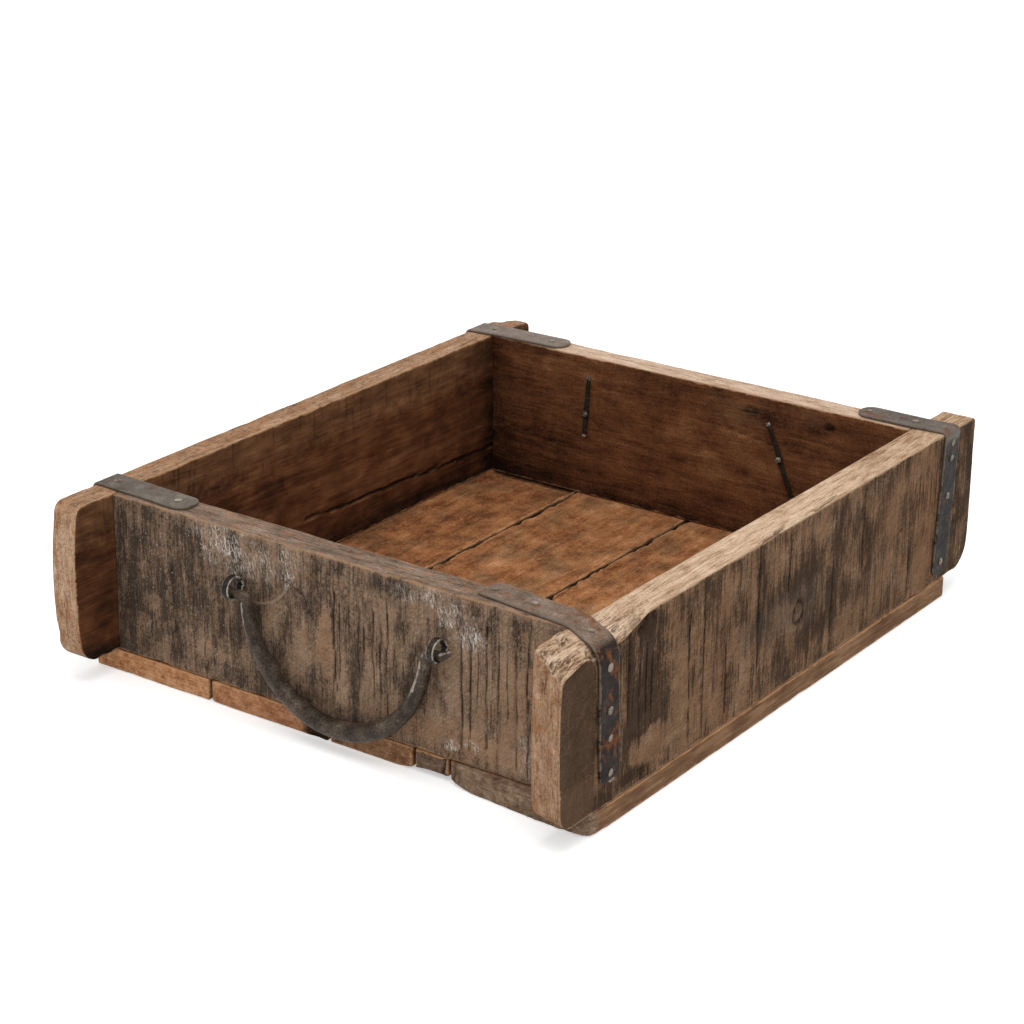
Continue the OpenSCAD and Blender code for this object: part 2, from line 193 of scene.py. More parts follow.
def box_grid(lines):
    """Vertices and quads of a box gridded at the given lines"""
    shape = tuple(len(n) for n in lines)
    shell = np.ones(shape, bool)
    shell[1:-1, 1:-1, 1:-1] = False
    ids = np.full(shape, -1)
    ids[shell] = np.arange(shell.sum())
    cells = np.argwhere(shell)
    points = np.stack([lines[i][cells[:, i]] for i in range(3)], 1)
    quads = []
    for axis in range(3):
        for end in (0, -1):
            sheet = np.take(ids, end, axis=axis)
            around = [sheet[:-1, :-1], sheet[1:, :-1], sheet[1:, 1:], sheet[:-1, 1:]]
            if (axis == 1) == (end == -1):
                around = around[::-1]
            quads.append(np.stack(around, -1).reshape(-1, 4))
    return points, np.concatenate(quads)


class Board:
    """A worn board. Its own axes are along the grain, across it and through its thickness,
    and axes names the world axis of each."""

    def __init__(self, node, axes, outward, step, corner, arris, seed):
        """outward is the sign of the outer face along the thickness, step is the mesh's step
        along each axis, and corner and arris are radii, all in mm. corner may give four: the
        first end's upper and lower one, then the other end's."""
        self.node, self.axes, self.outward, self.seed = node, list(axes), outward, seed
        lo, hi = edges(node)
        self.lo, self.hi = lo[self.axes], hi[self.axes]
        lines = [graded(self.lo[i], self.hi[i], step[i] * MM) for i in range(3)]
        self.own, quads = box_grid(lines)
        odd = self.axes not in ([X, Y, Z], [Y, Z, X], [Z, X, Y])
        self.quads = quads[:, ::-1] if odd else quads
        self.corner = np.broadcast_to(corner, 4)
        self.arris = arris
        # Masks: dark grooves, freshly broken wood, and where the tray's own inside may show
        self.groove = np.zeros(len(self.own))
        self.bare = np.zeros(len(self.own))
        self.inside = np.ones(len(self.own))

    @property
    def points(self):
        world = np.empty_like(self.own)
        world[:, self.axes] = self.own
        return world

    def wear(self):
        """Radius of the worn arris at each vertex, before local chips"""
        chips = np.maximum(rough_noise(self.points, (22, 22, 22), self.seed + 5) - 0.18, 0)
        ripple = rough_noise(self.points, (9, 9, 9), self.seed + 8)
        return self.arris * MM * (1 + 0.4 * ripple + 3.2 * chips)

    def round_off(self, radius):
        """Rounds the arrises by radius, and the outline's four corners by self.corner"""
        own, lo, hi = self.own, self.lo, self.hi
        depth = np.minimum(own[:, :2] - lo[:2], hi[:2] - own[:, :2])
        inset = depth.min(axis=1)
        skin = np.minimum(own[:, 2] - lo[2], hi[2] - own[:, 2])
        near = (inset < radius) & (skin < radius)
        out, through = np.where(near, radius - inset, 0), np.where(near, radius - skin, 0)
        length = np.maximum(np.hypot(out, through), 1e-12)
        sink = np.where(near, out - radius * out / length, 0)
        sag = np.where(near, through - radius * through / length, 0)
        mid = (lo + hi) / 2
        own[:, 2] += np.where(own[:, 2] > mid[2], -sag, sag)
        first = depth[:, 0] < depth[:, 1]
        moved = own[:, :2].copy()
        for axis, nearest in ((0, first), (1, ~first)):
            side = np.where(own[:, axis] > mid[axis], -1, 1)
            moved[:, axis] += np.where(nearest, side * sink, 0)
        for r, side in zip(self.corner * MM, np.array([(-1, 1), (-1, -1), (1, 1), (1, -1)])):
            centre = np.where(side < 0, lo[:2] + r, hi[:2] - r)
            offset = (own[:, :2] - centre) * side
            inside = (offset > 0).all(axis=1)
            far = offset.max(axis=1, keepdims=True) - sink[:, None]
            target = centre + unit(offset) * far * side
            moved[inside] = target[inside]
        own[:, :2] = moved

    def press(self, depth, dark=0.0):
        """Moves the surface inwards by depth mm, and darkens it by dark, from 0 to 1"""
        normals = vertex_normals(self.points, self.quads)
        self.own -= (normals * (depth * MM)[:, None])[:, self.axes]
        self.groove = np.maximum(self.groove, dark)

    def cut(self, where, depth, dark=1.0):
        """Presses to the depth and darkness that are meant for where the mask is 1"""
        self.press(where * depth, where * dark)

    def score(self, where, marks, depth, dark, seed, along=0, across=1):
        """Cuts a crack for each mark, from its start to its end and as wide as it says. along
        and across are the board's axes that the crack runs along and wanders across."""
        for i, mark in enumerate(marks):
            line = crack(self.own[:, across], self.own[:, along], *mark, seed + i)
            self.cut(line * where, depth, dark)

    def facing(self):
        """How far each vertex faces along each of the board's own axes"""
        return vertex_normals(self.points, self.quads)[:, self.axes]

    def face(self, side):
        """1 on the outer face for a side of 1, or on the inner one for -1, and 0 elsewhere"""
        return step_up(self.facing()[:, 2] * self.outward * side, 0.5, 0.9)

    def finish(self, slot, material, butted=False):
        """Makes the object with its masks. A butted board's ends lie against others."""
        self.own = np.clip(self.own, self.lo, self.hi)
        facing = self.facing()
        inset = np.minimum(self.own - self.lo, self.hi - self.own)
        depth = np.sort(inset[:, 1:] if butted else inset, axis=1)[:, 1]
        arris = 1 - step_up(depth, 0.4 * MM, 3.5 * MM)
        masks = {
            "top": step_up(facing[:, 1], 0.45, 0.8),
            "end": np.maximum(step_up(abs(facing[:, 0]), 0.55, 0.85), 1 - self.inside),
            "inner": step_up(-facing[:, 2] * self.outward, 0.2, 0.7) * self.inside,
            "arris": np.maximum(arris, self.bare),
            "groove": self.groove,
        }
        piece = new_object(self.node + "_wood", self.points, self.quads, masks)
        place(piece, "tray", slot, material, self.node)


def crack(across, along, start, end, width, seed):
    """How deep a crack runs, from 0 to 1, along a line between two (along, across) points"""
    (a0, c0), (a1, c1) = start, end
    k = np.clip((along - a0 * MM) / ((a1 - a0) * MM), 0, 1)
    line = np.stack([along, along * 0, along * 0], 1)
    wander = rough_noise(line, (26, 1, 1), seed) * 2.2 * MM
    middle = c0 * MM + (c1 - c0) * MM * k + wander
    taper = np.sin(np.pi * np.clip(k, 0.001, 0.999)) ** 0.4
    half = width / 2 * MM * (0.65 + 0.5 * rough_noise(line, (12, 1, 1), seed + 3)) * taper
    inside = (along > min(a0, a1) * MM) & (along < max(a0, a1) * MM)
    return np.where(inside, 1 - step_up(abs(across - middle), half * 0.3, half + 0.5 * MM), 0)


EAR_FADE = 45 * MM


def bow_end(board, at_front, dip, upper=1.0):
    """Bows a board's end outwards by dip mm, and by only a share of that above its middle"""
    k = (board.own[:, 1] - Z_BOARD) / BOARD_H
    dip = dip * np.where(k > 0.5, upper, 1)
    end = board.lo[0] if at_front else board.hi[0]
    fade = 1 - step_up(abs(board.own[:, 0] - end), 0, EAR_FADE)
    shift = dip * MM * (2 * k - 1) ** 2 * fade
    board.own[:, 0] += shift if at_front else -shift


WAVES = 0.3


def weather(board, ridges=0.25):
    """Broad waves, and ridges of harder grain, most on the upper edge. Depths are in mm."""
    grain = np.ones(3) * 1.3
    grain[board.axes[0]] = 24
    fine = rough_noise(board.points, grain, board.seed + 50)
    broad = rough_noise(board.points, (45, 45, 45), board.seed + 60)
    upper = 0.3 + 0.7 * step_up(board.facing()[:, 1], 0.3, 0.8)
    board.press(ridges * upper * (1 + fine) / 2 + WAVES * (1 + broad) / 2)


def pit(board, along, across, size, depth, seed):
    """Sinks a ragged hole into the face that looks away from the tray"""
    at = (board.own[:, :2] / MM - (along, across)) / size
    reach = np.linalg.norm(at, axis=1) + 0.3 * rough_noise(board.points, (2, 2, 2), seed)
    board.cut((1 - step_up(reach, 0.6, 1.1)) * board.face(1), depth)


def kerfs(board, marks, depth, seed):
    """Narrow upright grooves in the outer face: (along, lower end, upper end, width)"""
    marks = [((low, along), (high, along), width) for along, low, high, width in marks]
    board.score(board.face(1), marks, depth, 1, seed, 1, 0)


# The front right ear in mm: how far its outer edge has worn down, how much more its tip has,
# how far its end is skewed, how round it is below the strap, and where its lower ledge lies
EAR_WEAR_DROP = 8
EAR_TIP_DROP = 5
EAR_SKEW = 6
STRAP_ROLL = 11
LEDGE_H = 42


def side_board_right(material):
    b = Board("side_board_right", SIDE_AXES, 1, (1.25, 1.6, 1.2), (5, 12, 4.5, 18), 1.2, 11)
    y, z, x = b.own.T
    rolled = window(y / MM, -226, -199, 4) * (x > (X_OUT + X_RIGHT) / 2) * (z > Z_BOARD + BOARD_H / 2)
    b.round_off(b.wear() + STRAP_ROLL * MM * rolled)
    bow_end(b, True, 2)
    bow_end(b, False, 2, upper=0.2)
    width = X_OUT - X_RIGHT
    y, z, x = b.own.T
    front_fade = 1 - step_up(y - b.lo[0], 0, EAR_FADE)
    b.own[:, 0] += (X_OUT - x) / width * EAR_SKEW * MM * front_fade
    across = np.clip((x - X_RIGHT) / width, 0, 1)
    torn = 1 - step_up(b.own[:, 0] / MM, -196, -160)
    tip = 1 - step_up(b.own[:, 0] / MM, -257, -230)
    upper = step_up(z, Z_TOP - 34 * MM, Z_TOP - 3 * MM)
    b.own[:, 1] -= (EAR_WEAR_DROP * torn + EAR_TIP_DROP * tip) * MM * across**1.15 * upper
    splinters = rough_noise(b.points, (2.4, 20, 9), 71, 4)
    crest = step_up(b.facing()[:, 1], 0.15, 0.7)
    bare = torn * crest
    b.own[:, 1] -= (0.9 + 1.5 * np.maximum(splinters, -0.3)) * bare * MM * (0.4 + across)
    ear_top = (1 - step_up(b.own[:, 0] / MM, -228, -222)) * crest
    stair = np.floor(across * 6 + 0.8 * soft_noise(b.points, (60, 12, 60), 72)) / 6
    b.own[:, 1] -= ear_top * stair * 1.2 * MM
    y, z, x = b.points[:, Y] / MM, b.points[:, Z] / MM, b.points[:, X] / MM
    chunk = window(y + 0.5 * (x - 180), -233, -224, 1.2) * (1 - step_up(x, 183.5, 185.5)) * crest
    b.own[:, 1] += chunk * 1.9 * MM
    top_splits = (
        ((-250, 182), (-236, 186), 0.9), ((-233, 180), (-224, 186), 1.6), ((-252, 190), (-234, 194), 0.8),
        ((-197, 191), (-184, 195), 1.4), ((-188, 188), (-171, 191), 0.9), ((-180, 195), (-163, 197), 1.6),
        ((-168, 190), (-154, 192), 0.8))
    for i, (start, end, wide) in enumerate(top_splits):
        b.cut(crack(b.own[:, 2], b.own[:, 0], start, end, wide, 73 + 3 * i) * crest, 1.5, 0.3)
    torn_edge = window(y, -194, -160, 4) * step_up(x, 193, 198) * step_up(z, 112, 118)
    torn_edge *= step_up(rough_noise(b.points, (4, 9, 6), 74), 0.0, 0.3)
    b.cut(torn_edge, 2.4, 0.7)
    outer = b.face(1)
    ledge = LEDGE_H - 0.04 * (y + 256) + 1.2 * soft_noise(b.points, (40, 7, 40), 76)
    on_ear = (1 - step_up(y, -224, -220)) * outer
    b.cut(step_up(z, ledge, ledge + 1.6) * on_ear, 1.2, 0)
    b.bare = window(z, ledge - 0.6, ledge + 1.2, 0.7) * on_ear * 0.6
    kerfs(b, (
        (-186.6, 60, 118, 1.4), (-174.5, 44, 112, 1.5), (-167.5, 52, 108, 1.3), (-162, 50, 96, 1.2),
        (-119, 20, 112, 1.5), (-103, 18, 104, 1.5), (-76, 24, 76, 1.2), (-38, 36, 124, 2.2),
        (-1, 80, 122, 1.2), (57, 18, 92, 1.3), (97, 60, 122, 1.1), (-172, 17, 26, 1.8),
        (-162.5, 17, 25, 1.6), (-61, 90, 120, 1.0), (166, 20, 60, 1.0)), 0.8, 80)
    knot = np.hypot(y - 13, (z - 61) * 0.8) + 0.8 * soft_noise(b.points, (40, 4, 4), 77)
    ring = (1 - step_up(abs(knot - 6), 0.4, 1.6)) * outer
    b.press(ring * 1.1 - (1 - step_up(knot, 2, 6)) * outer * 0.2, ring * 0.9)
    pits = ((152, 73, (2.4, 1.6), 1.8), (231, 96, (1.5, 3.4), 3), (230.5, 61, (1.5, 6.6), 3))
    for i, hole in enumerate(pits):
        pit(b, *hole, 78 + i)
    notches = [((start, 199), (end, 196), 1.8) for start, end in ((-36, -10), (-20, -2), (30, 64))]
    b.score(step_up(z, Z_TOP / MM - 5, Z_TOP / MM - 1), notches, 1.6, 0.8, 90, 0, 2)
    weather(b)
    b.finish("side_wood", material)


def side_board_left(material):
    b = Board("side_board_left", SIDE_AXES, -1, (1.4, 1.6, 1.4), (7, 14, 5, 12), 1.5, 23)
    b.round_off(b.wear())
    bow_end(b, True, 5)
    bow_end(b, False, 3, upper=0.3)
    z, y, x = b.own[:, 1] / MM, b.own[:, 0] / MM, b.own[:, 2] / MM
    worn = step_up(y, 228, 246) * step_up(z, 96, 122)
    b.own[:, 1] -= worn * (1.6 + 2.0 * (1 - step_up(x, -199, -188))) * MM
    inner = b.face(-1)
    b.score(inner, (((-22, 46), (206, 35), 1.6),), 2.4, 1, 101)
    below = (1 - step_up(z - 45 + (y + 22) * 0.048, -3, -0.5)) * step_up(y, -20, 60) * inner
    b.cut(below, 0.5, 0)
    marks = [((low, y), (123, y + 2), 1.1) for low, y in ((104, -158), (101, -152), (104, -141), (101, -136))]
    b.score(inner, marks, 0.8, 0.7, 110, 1, 0)
    kerfs(b, (
        (-120, 24, 118, 1.4), (-64, 40, 122, 1.2), (-8, 18, 88, 1.5), (71, 30, 120, 1.3),
        (128, 20, 96, 1.1), (183, 40, 124, 1.2)), 0.7, 120)
    weather(b)
    b.finish("side_wood", material)


def front_board(material):
    b = Board("front_board", END_AXES, -1, (1.2, 1.6, 1.4), 1.5, 1.6, 37)
    b.round_off(b.wear())
    kerfs(b, (
        (100, 24, 112, 1.6), (106, 26, 96, 1.2), (118, 30, 110, 1.1), (127, 26, 104, 1.1),
        (140, 24, 108, 1.1), (148, 20, 118, 1.3), (3, 36, 104, 1.0), (7, 44, 96, 0.9),
        (26, 60, 104, 1.0), (33, 40, 98, 1.1), (38.5, 44, 92, 1.0), (44, 30, 100, 1.0),
        (-129, 40, 90, 1.0)), 0.7, 140)
    outer = b.face(1)
    x, z = b.own[:, 0] / MM, b.own[:, 1] / MM
    arch = abs(np.hypot(x + 27, z - 89.3) - 7.2) + 0.3 * soft_noise(b.points, (5, 5, 5), 141)
    arch = (1 - step_up(arch, 0.3, 1.2)) * step_up(x, -31, -27) * step_up(z, 84, 87) * outer
    b.cut(arch, 1.2)
    b.score(outer, (((-48, 84), (-41, 75), 0.9), ((-20.5, 87), (-16, 82), 0.9)), 0.8, 0.8, 145)
    weather(b)
    b.finish("end_wood", material, butted=True)


def rear_board(material):
    b = Board("rear_board", END_AXES, 1, (1.4, 1.6, 1.4), 1.5, 1.5, 41)
    b.round_off(b.wear())
    b.score(b.face(-1), (((-176, 60), (-120, 52), 1), ((30, 96), (96, 88), 1)), 0.8, 0.6, 150)
    kerfs(b, (
        (-143, 26, 118, 1.3), (-61, 20, 96, 1.2), (22, 40, 122, 1.4), (103, 22, 88, 1.2),
        (149, 34, 120, 1.1)), 0.7, 155)
    weather(b)
    b.finish("inner_wood", material, butted=True)


FRONT_LIFT = 3.4
PLANK_TOE = 11
# Slanted split in a plank's front end: x at the bottom and at the top
FRONT_SPLITS = {4: (85, 88.5), 5: (94.5, 98)}


def floor_plank(number, material):
    """A floor plank with ragged seams, worn away below where x is near 80 mm at the front. The
    first one's upper face is broken off along its rear end, the second one's front corner is
    chipped, the fourth and fifth are split at the front, and the fifth one's front end is also
    curved and crumbled."""
    corner = (9, 1.5, 1.5, 1.5) if number == 5 else 1.5
    node = f"floor_plank_{number}"
    b = Board(node, PLANK_AXES, -1, (2.2, 1.6, 1.5), corner, 1.1, 60 + number)
    ragged = np.maximum(rough_noise(b.points, (9, 9, 9), b.seed, 4) + 0.1, 0) * 8 * MM
    seams = step_up(b.own[:, 2], 6 * MM, 12 * MM) * step_up(b.own[:, 0], Y_FRONT + 2 * MM, Y_FRONT + 8 * MM)
    inside = seams * (b.own[:, 1] < X_OUT - 30 * MM) * (b.own[:, 1] > -X_OUT + 10 * MM)
    b.round_off(b.wear() + ragged * inside)
    sunk = np.where(b.own[:, 2] > b.hi[2] - 6 * MM, b.hi[2] - b.own[:, 2], 0)
    b.groove = step_up(sunk, 0.9 * MM, 2.6 * MM) * 0.8 * inside
    b.bare = window(sunk, 0.15 * MM, 0.7 * MM, 0.15 * MM) * inside
    x, y = b.points[:, X] / MM, b.points[:, Y] / MM
    front = 1 - step_up(b.own[:, 0] - Y_FRONT, 0, 30 * MM)
    ahead = step_up(-b.facing()[:, 0], 0.4, 0.8)
    if number == 5:
        k = np.clip((b.own[:, 1] - b.lo[1]) / (b.hi[1] - b.lo[1]), 0, 1)
        b.own[:, 0] += PLANK_TOE * MM * (1 - np.sqrt(k)) * front
        fibres = rough_noise(b.points, (2.4, 40, 2.4), 66, 3) * step_up(x, 140, 170)
        b.own[:, 0] += np.maximum(fibres, -0.2) * 2.4 * MM * ahead
        crumbs = rough_noise(b.points, (3.2, 3.2, 3.2), 67, 3) * step_up(x, 176, 186) * front
        b.press((1 + crumbs) * 0.9 * step_up(x, 176, 186) * (1 - step_up(y, -212, -204)))
    lift = FRONT_LIFT * MM * window(x, 62, 98, 14) * front
    b.own[:, 2] += lift * (1 - np.clip(b.own[:, 2] / b.hi[2], 0, 1))
    if number in FRONT_SPLITS:
        foot, head = FRONT_SPLITS[number]
        b.cut(crack(b.own[:, 1], b.own[:, 2], (0, foot), (16, head), 2.4, 68) * ahead, 3)
    if number == 1:
        edge = 198.6 + 1.3 * rough_noise(b.points, (6, 60, 60), 64)
        along = window(x, -177, -104, 2) * step_up(b.facing()[:, 2], 0.4, 0.8)
        broken = step_up(y, edge, edge + 1.2) * along
        b.cut(broken, 1.6, 0.55)
        b.bare = np.maximum(b.bare, window(y, edge - 2.2, edge + 0.2, 0.6) * along)
    if number == 2:
        chip = window(x, -21.6, 2, 1.5) * (1 - step_up(b.own[:, 0] - Y_FRONT, 6 * MM, 9 * MM))
        depth = (5 + 2 * rough_noise(b.points, (5, 5, 5), 65)) * MM
        b.own[:, 0] += chip * depth * ahead
        b.groove = np.maximum(b.groove, chip * 0.75)
    weather(b, 0.3)
    b.inside = step_up(b.own[:, 0], Y_FRONT - MM, Y_FRONT + MM)
    b.finish("floor_wood", material)


# Bent and forged iron

def filleted(corners, radii, step):
    """Points in mm along a bent line: straight between the corners and round at each one"""
    corners = [np.asarray(c, float) for c in corners]
    points = [corners[0]]
    for i in range(1, len(corners) - 1):
        before, here, after = corners[i - 1 : i + 2]
        d1, d2 = unit(here - before), unit(after - here)
        turn = math.acos(np.clip(d1 @ d2, -1, 1))
        radius = radii[i - 1]
        inward, onward = unit(d2 - d1), unit(d1 + d2)
        centre = here + inward * radius / math.cos(turn / 2)
        for angle in turn * np.linspace(-0.5, 0.5, max(int(turn / 0.12), 2) + 1):
            points.append(centre + radius * (onward * math.sin(angle) - inward * math.cos(angle)))
    points.append(corners[-1])
    filled = [points[0]]
    for a, b in zip(points, points[1:]):
        count = max(int(np.linalg.norm(b - a) / step), 1)
        filled += [a + (b - a) * k / count for k in range(1, count + 1)]
    return np.array(filled)


def path_length(path):
    return np.concatenate([[0], np.cumsum(np.linalg.norm(np.diff(path, axis=0), axis=1))])


def directions(path):
    return unit(np.gradient(path, axis=0))


def ring_quads(count, around):
    """Numbers of the vertices in count rings of around each, and the quads between the rings"""
    ids = np.arange(count * around).reshape(count, around)
    nxt = np.roll(ids, -1, axis=1)
    return ids, np.stack([ids[:-1], ids[1:], nxt[1:], nxt[:-1]], -1).reshape(-1, 4)


def ribbon(path, sideways, half, low, high, columns=9, bevel=0.35):
    """Strip iron along a path in mm. half is its half width at each point, and low and high
    are its two faces, measured from the path along the strip's outward side."""
    along = directions(path)
    sideways = np.broadcast_to(sideways, path.shape)
    wide = unit(sideways - (sideways * along).sum(1, keepdims=True) * along)
    out = np.cross(along, wide)
    row = np.linspace(-1, 1, columns)
    # Around the section: place across it, height, and whether it lies on one of the two edges
    ring = [(u, low, 0) for u in row] + [(1, low + bevel, 1), (1, high - bevel, 1)]
    ring += [(u, high, 0) for u in row[::-1]] + [(-1, high - bevel, 1), (-1, low + bevel, 1)]
    points = []
    for u, height, rim in ring:
        inset = 0 if rim else bevel
        points.append(path + wide * (u * (half - inset))[:, None] + out * height)
    grid = np.stack(points, 1)
    ids, sides = ring_quads(*grid.shape[:2])
    caps = []
    for end, turn in ((0, 1), (-1, -1)):
        r = ids[end]
        top = r[columns + 2 : 2 * columns + 2][::-1]
        for i in range(columns - 1):
            caps.append([r[i], r[i + 1], top[i + 1], top[i]][::turn])
        caps.append([r[columns - 1], r[columns], r[columns + 1], top[-1]][::turn])
        caps.append([top[0], r[-2], r[-1], r[0]][::turn])
    rims = np.tile([1.0 if rim else float(abs(u) > 0.9) for u, _, rim in ring], len(path))
    return grid.reshape(-1, 3) * MM, np.concatenate([sides, np.array(caps)]), rims


def outward(points, quads):
    """The quads, turned round if they enclose the points inside out"""
    a, b, c, d = (points[quads[:, i]] for i in range(4))
    volume = (np.cross(b - a, c - a) * a).sum() + (np.cross(c - a, d - a) * a).sum()
    return quads if volume > 0 else quads[:, ::-1]


def iron_object(name, parts, dents, seed, body, material, *nodes):
    """One piece of iron from several closed meshes, dented by up to dents mm"""
    parts = [(p, outward(p, q), rim) for p, q, rim in parts]
    points, quads, rim = joined(parts)
    if dents:
        noise = rough_noise(points, (6, 6, 6), seed)
        points = points - vertex_normals(points, quads) * (dents * MM * (1 + noise) / 2)[:, None]
    piece = new_object(name, points, quads, {"rim": rim})
    place(piece, body, material.name.split(".")[0], material, *nodes)


# The straps in mm: section, bends, and how far they lie off the wood
STRAP_W = 20.5
STRAP_T = 1.8
STRAP_BEND = 3
WORN_BEND = 12
SEAT = 0.05
# Each strap: side of the tray, end of the tray, top arm's length, foot's height, how far its
# middle line lies in from the end board's outer face, and how round its two ends are
STRAPS = {
    "front_left": (-1, -1, 79, 18, (12.5, 15, 16, 16), (8, 7)),
    "front_right": (1, -1, 94, 17, (17.5, 9.7, 4.5, 8), (3, 4)),
    "rear_left": (-1, 1, 83, 18, (10, 12.5, 15, 13.5), (9, 7)),
    "rear_right": (1, 1, 70, 6, (7.5, 7.5, 5.5, 13.5), (9, 6)),
}
# Nails in each strap: in the top arm, from the outer face, and down the side arm
STRAP_NAILS = {
    "front_left": ((12, 66), (20, 55, 87)),
    "front_right": ((14, 57, 88), (20, 47, 65, 88)),
    "rear_left": ((16, 69), (20, 55, 87)),
    "rear_right": ((28, 64), (7, 19, 47, 95)),
}


def strap_path(corner):
    """The underside of a strap's middle line in mm"""
    side, end, top, foot, line, _ = STRAPS[corner]
    x_out, z_top = X_OUT / MM, Z_TOP / MM
    inner = -X_LEFT / MM if side < 0 else X_RIGHT / MM
    worn = corner == "front_right"
    drop = EAR_WEAR_DROP if worn else 0
    y = [(Y_FRONT / MM + d) if end < 0 else (Y_REAR / MM - d) for d in line]
    corners = [
        (side * (x_out - top), y[0], z_top + SEAT),
        (side * inner, y[1], z_top + SEAT),
        (side * (x_out + SEAT), y[2], z_top - drop + SEAT),
        (side * (x_out + SEAT), y[3], Z_BOARD / MM + foot),
    ]
    return filleted(corners, (20, WORN_BEND) if worn else (60, STRAP_BEND), 1.6)


def rounded_tip(distance, half, radius):
    """Half width at a distance from an end whose corners have this radius"""
    s = np.clip(distance, 0.15, radius)
    return half - radius + np.sqrt(np.maximum(radius**2 - (radius - s) ** 2, 0))


def corner_strap(corner, material):
    side, *_, (top_tip, foot_tip) = STRAPS[corner]
    path = strap_path(corner)
    s = path_length(path)
    wide = STRAP_W / 2
    half = np.minimum(rounded_tip(s, wide, top_tip), rounded_tip(s[-1] - s, wide, foot_tip))
    seed = sorted(STRAPS).index(corner)
    half = half + 0.35 * soft_noise(path * MM, (13, 13, 13), 160 + seed)
    mesh = ribbon(path, REARWARDS * side, half, 0, STRAP_T, 13)
    name = "corner_strap_" + corner
    iron_object(name + "_iron", [mesh], 0.16, 170 + seed, "tray", material, name)


def round_bar(at, axis, radius, length, rings, squash=1.0):
    """A short bar from a squared disc, where rings gives (height, radius) shares and squash
    is how wide it is one way"""
    lines = [np.linspace(-1, 1, 11), np.linspace(-1, 1, 11), np.arange(len(rings), dtype=float)]
    grid, quads = box_grid(lines)
    flat = grid[:, :2]
    most = abs(flat).max(axis=1)
    flat = unit(flat) * most[:, None]
    level = grid[:, 2].astype(int)
    heights, widths = np.array(rings).T
    radii = widths[level] * radius
    axis = Vector(axis).normalized()
    one = np.array(axis.orthogonal().normalized())
    two = np.cross(np.array(axis), one)
    spread = one * (flat[:, :1] * radii[:, None]) + two * (flat[:, 1:] * radii[:, None] * squash)
    dome = np.where(level == len(rings) - 1, 0.16 * radius * (1 - most**2), 0)
    height = heights[level] * length + dome
    rim = np.where(level >= len(rings) - 2, 0.8, 0.0)
    return (np.asarray(at, float) + spread + np.array(axis) * height[:, None]) * MM, quads, rim


HEAD_RINGS = ((0, 0.9), (0.35, 1.0), (0.75, 0.86), (1, 0.62))
SHANK_RINGS = ((0, 0.35), (0.2, 0.9), (0.6, 1.0), (1, 1.0))


def strap_nails(corner, material, rng):
    """Hammered nail heads on a strap, with their shanks below"""
    side = STRAPS[corner][0]
    tops, sides = STRAP_NAILS[corner]
    path = strap_path(corner)
    along = directions(path)
    reach, drop = X_OUT / MM - side * path[:, 0], Z_TOP / MM - path[:, 2]
    parts = []
    for arm, distance, wanted in ((drop < 12, reach, tops), (reach < 1, drop, sides)):
        for place_at in wanted:
            index = np.argmin(np.where(arm, abs(distance - place_at), np.inf))
            parts += nail_at(path[index], along[index], side, rng)
    name = "strap_nails_" + corner
    seed = sorted(STRAPS).index(corner)
    iron_object(name + "_heads", parts, 0.4, 180 + seed, "tray", material, name)


def nail_at(point, along, side, rng):
    """Head and shank of a nail whose place on the strap's underside is given"""
    out = unit(np.cross(along, REARWARDS * side))
    radius = rng.uniform(2.5, 3.1)
    seat = point + out * (STRAP_T - 0.15)
    head = round_bar(seat, out, radius, 0.9, HEAD_RINGS, rng.uniform(0.8, 1))
    shank = round_bar(point - out * 15.5, out, 1.25, 16.5, SHANK_RINGS)
    return [head, shank]


# A bail in mm: its bar, neck, pin and elbow radii, its pointed tips, and the eyes it runs in
BAIL_R = 6
BAIL_NECK_R = 3.4
PIN_R = 3
ELBOW_R = 4.5
TIP_L = 7
TIP_LEAN = math.radians(60)
EYE_W = 5
RUN_GAP = 0.3
FLARE = math.radians(6)


def bail_path(span, h, off):
    """Middle line of a bail about its pin axis, in mm, and its radius at each point. span is
    between the middles of its eyes, h how far it hangs, and off how far it is off centre."""
    a = span / 2 - EYE_W / 2 - 2 * RUN_GAP - ELBOW_R - off
    turn = math.atan(a * math.tan(FLARE) / h)
    z_mid = h * math.sin(FLARE) - ELBOW_R * (1 - math.sin(turn))
    x_end = a * math.cos(FLARE)
    face = span / 2 + EYE_W / 2 + 2 * RUN_GAP
    tip_x, tip_z = TIP_L * math.sin(TIP_LEAN), TIP_L * math.cos(TIP_LEAN)
    tip = [(face + k * tip_x, k * tip_z) for k in np.linspace(1, 0, 7)]
    tip_r = list(np.linspace(PIN_R * 0.62, PIN_R, 7))

    def pin_and_elbow(side):
        pin_end = side * off + x_end + ELBOW_R * math.cos(turn)
        pin = [(x, 0) for x in np.linspace(face, pin_end, 8)[1:]]
        bend = [(pin_end - ELBOW_R * math.sin(q), -ELBOW_R * (1 - math.cos(q)))
                for q in np.linspace(0, math.pi / 2 - turn, 8)[1:-1]]
        swell = list(np.linspace(PIN_R, BAIL_NECK_R, 8)[1:-1])
        shape = [(side * x, z) for x, z in tip + pin + bend]
        return shape, tip_r + [PIN_R] * 7 + swell

    left, left_r = pin_and_elbow(-1)
    right, right_r = pin_and_elbow(1)
    angles = np.linspace(FLARE, math.pi - FLARE, 110)
    curve = [(off - a * math.cos(t), z_mid - h * math.sin(t)) for t in angles]
    curve_r = [BAIL_NECK_R + (BAIL_R - BAIL_NECK_R) * math.sin(t) ** 0.7 for t in angles]
    points = np.array(left + curve + right[::-1])
    radii = np.array(left_r + curve_r + right_r[::-1])
    return np.stack([points[:, 0], np.zeros(len(points)), points[:, 1]], 1), radii


BAR_SIDES = 28
TIP_DOME = ((0.3, 0.9), (0.65, 0.7), (0.9, 0.35))


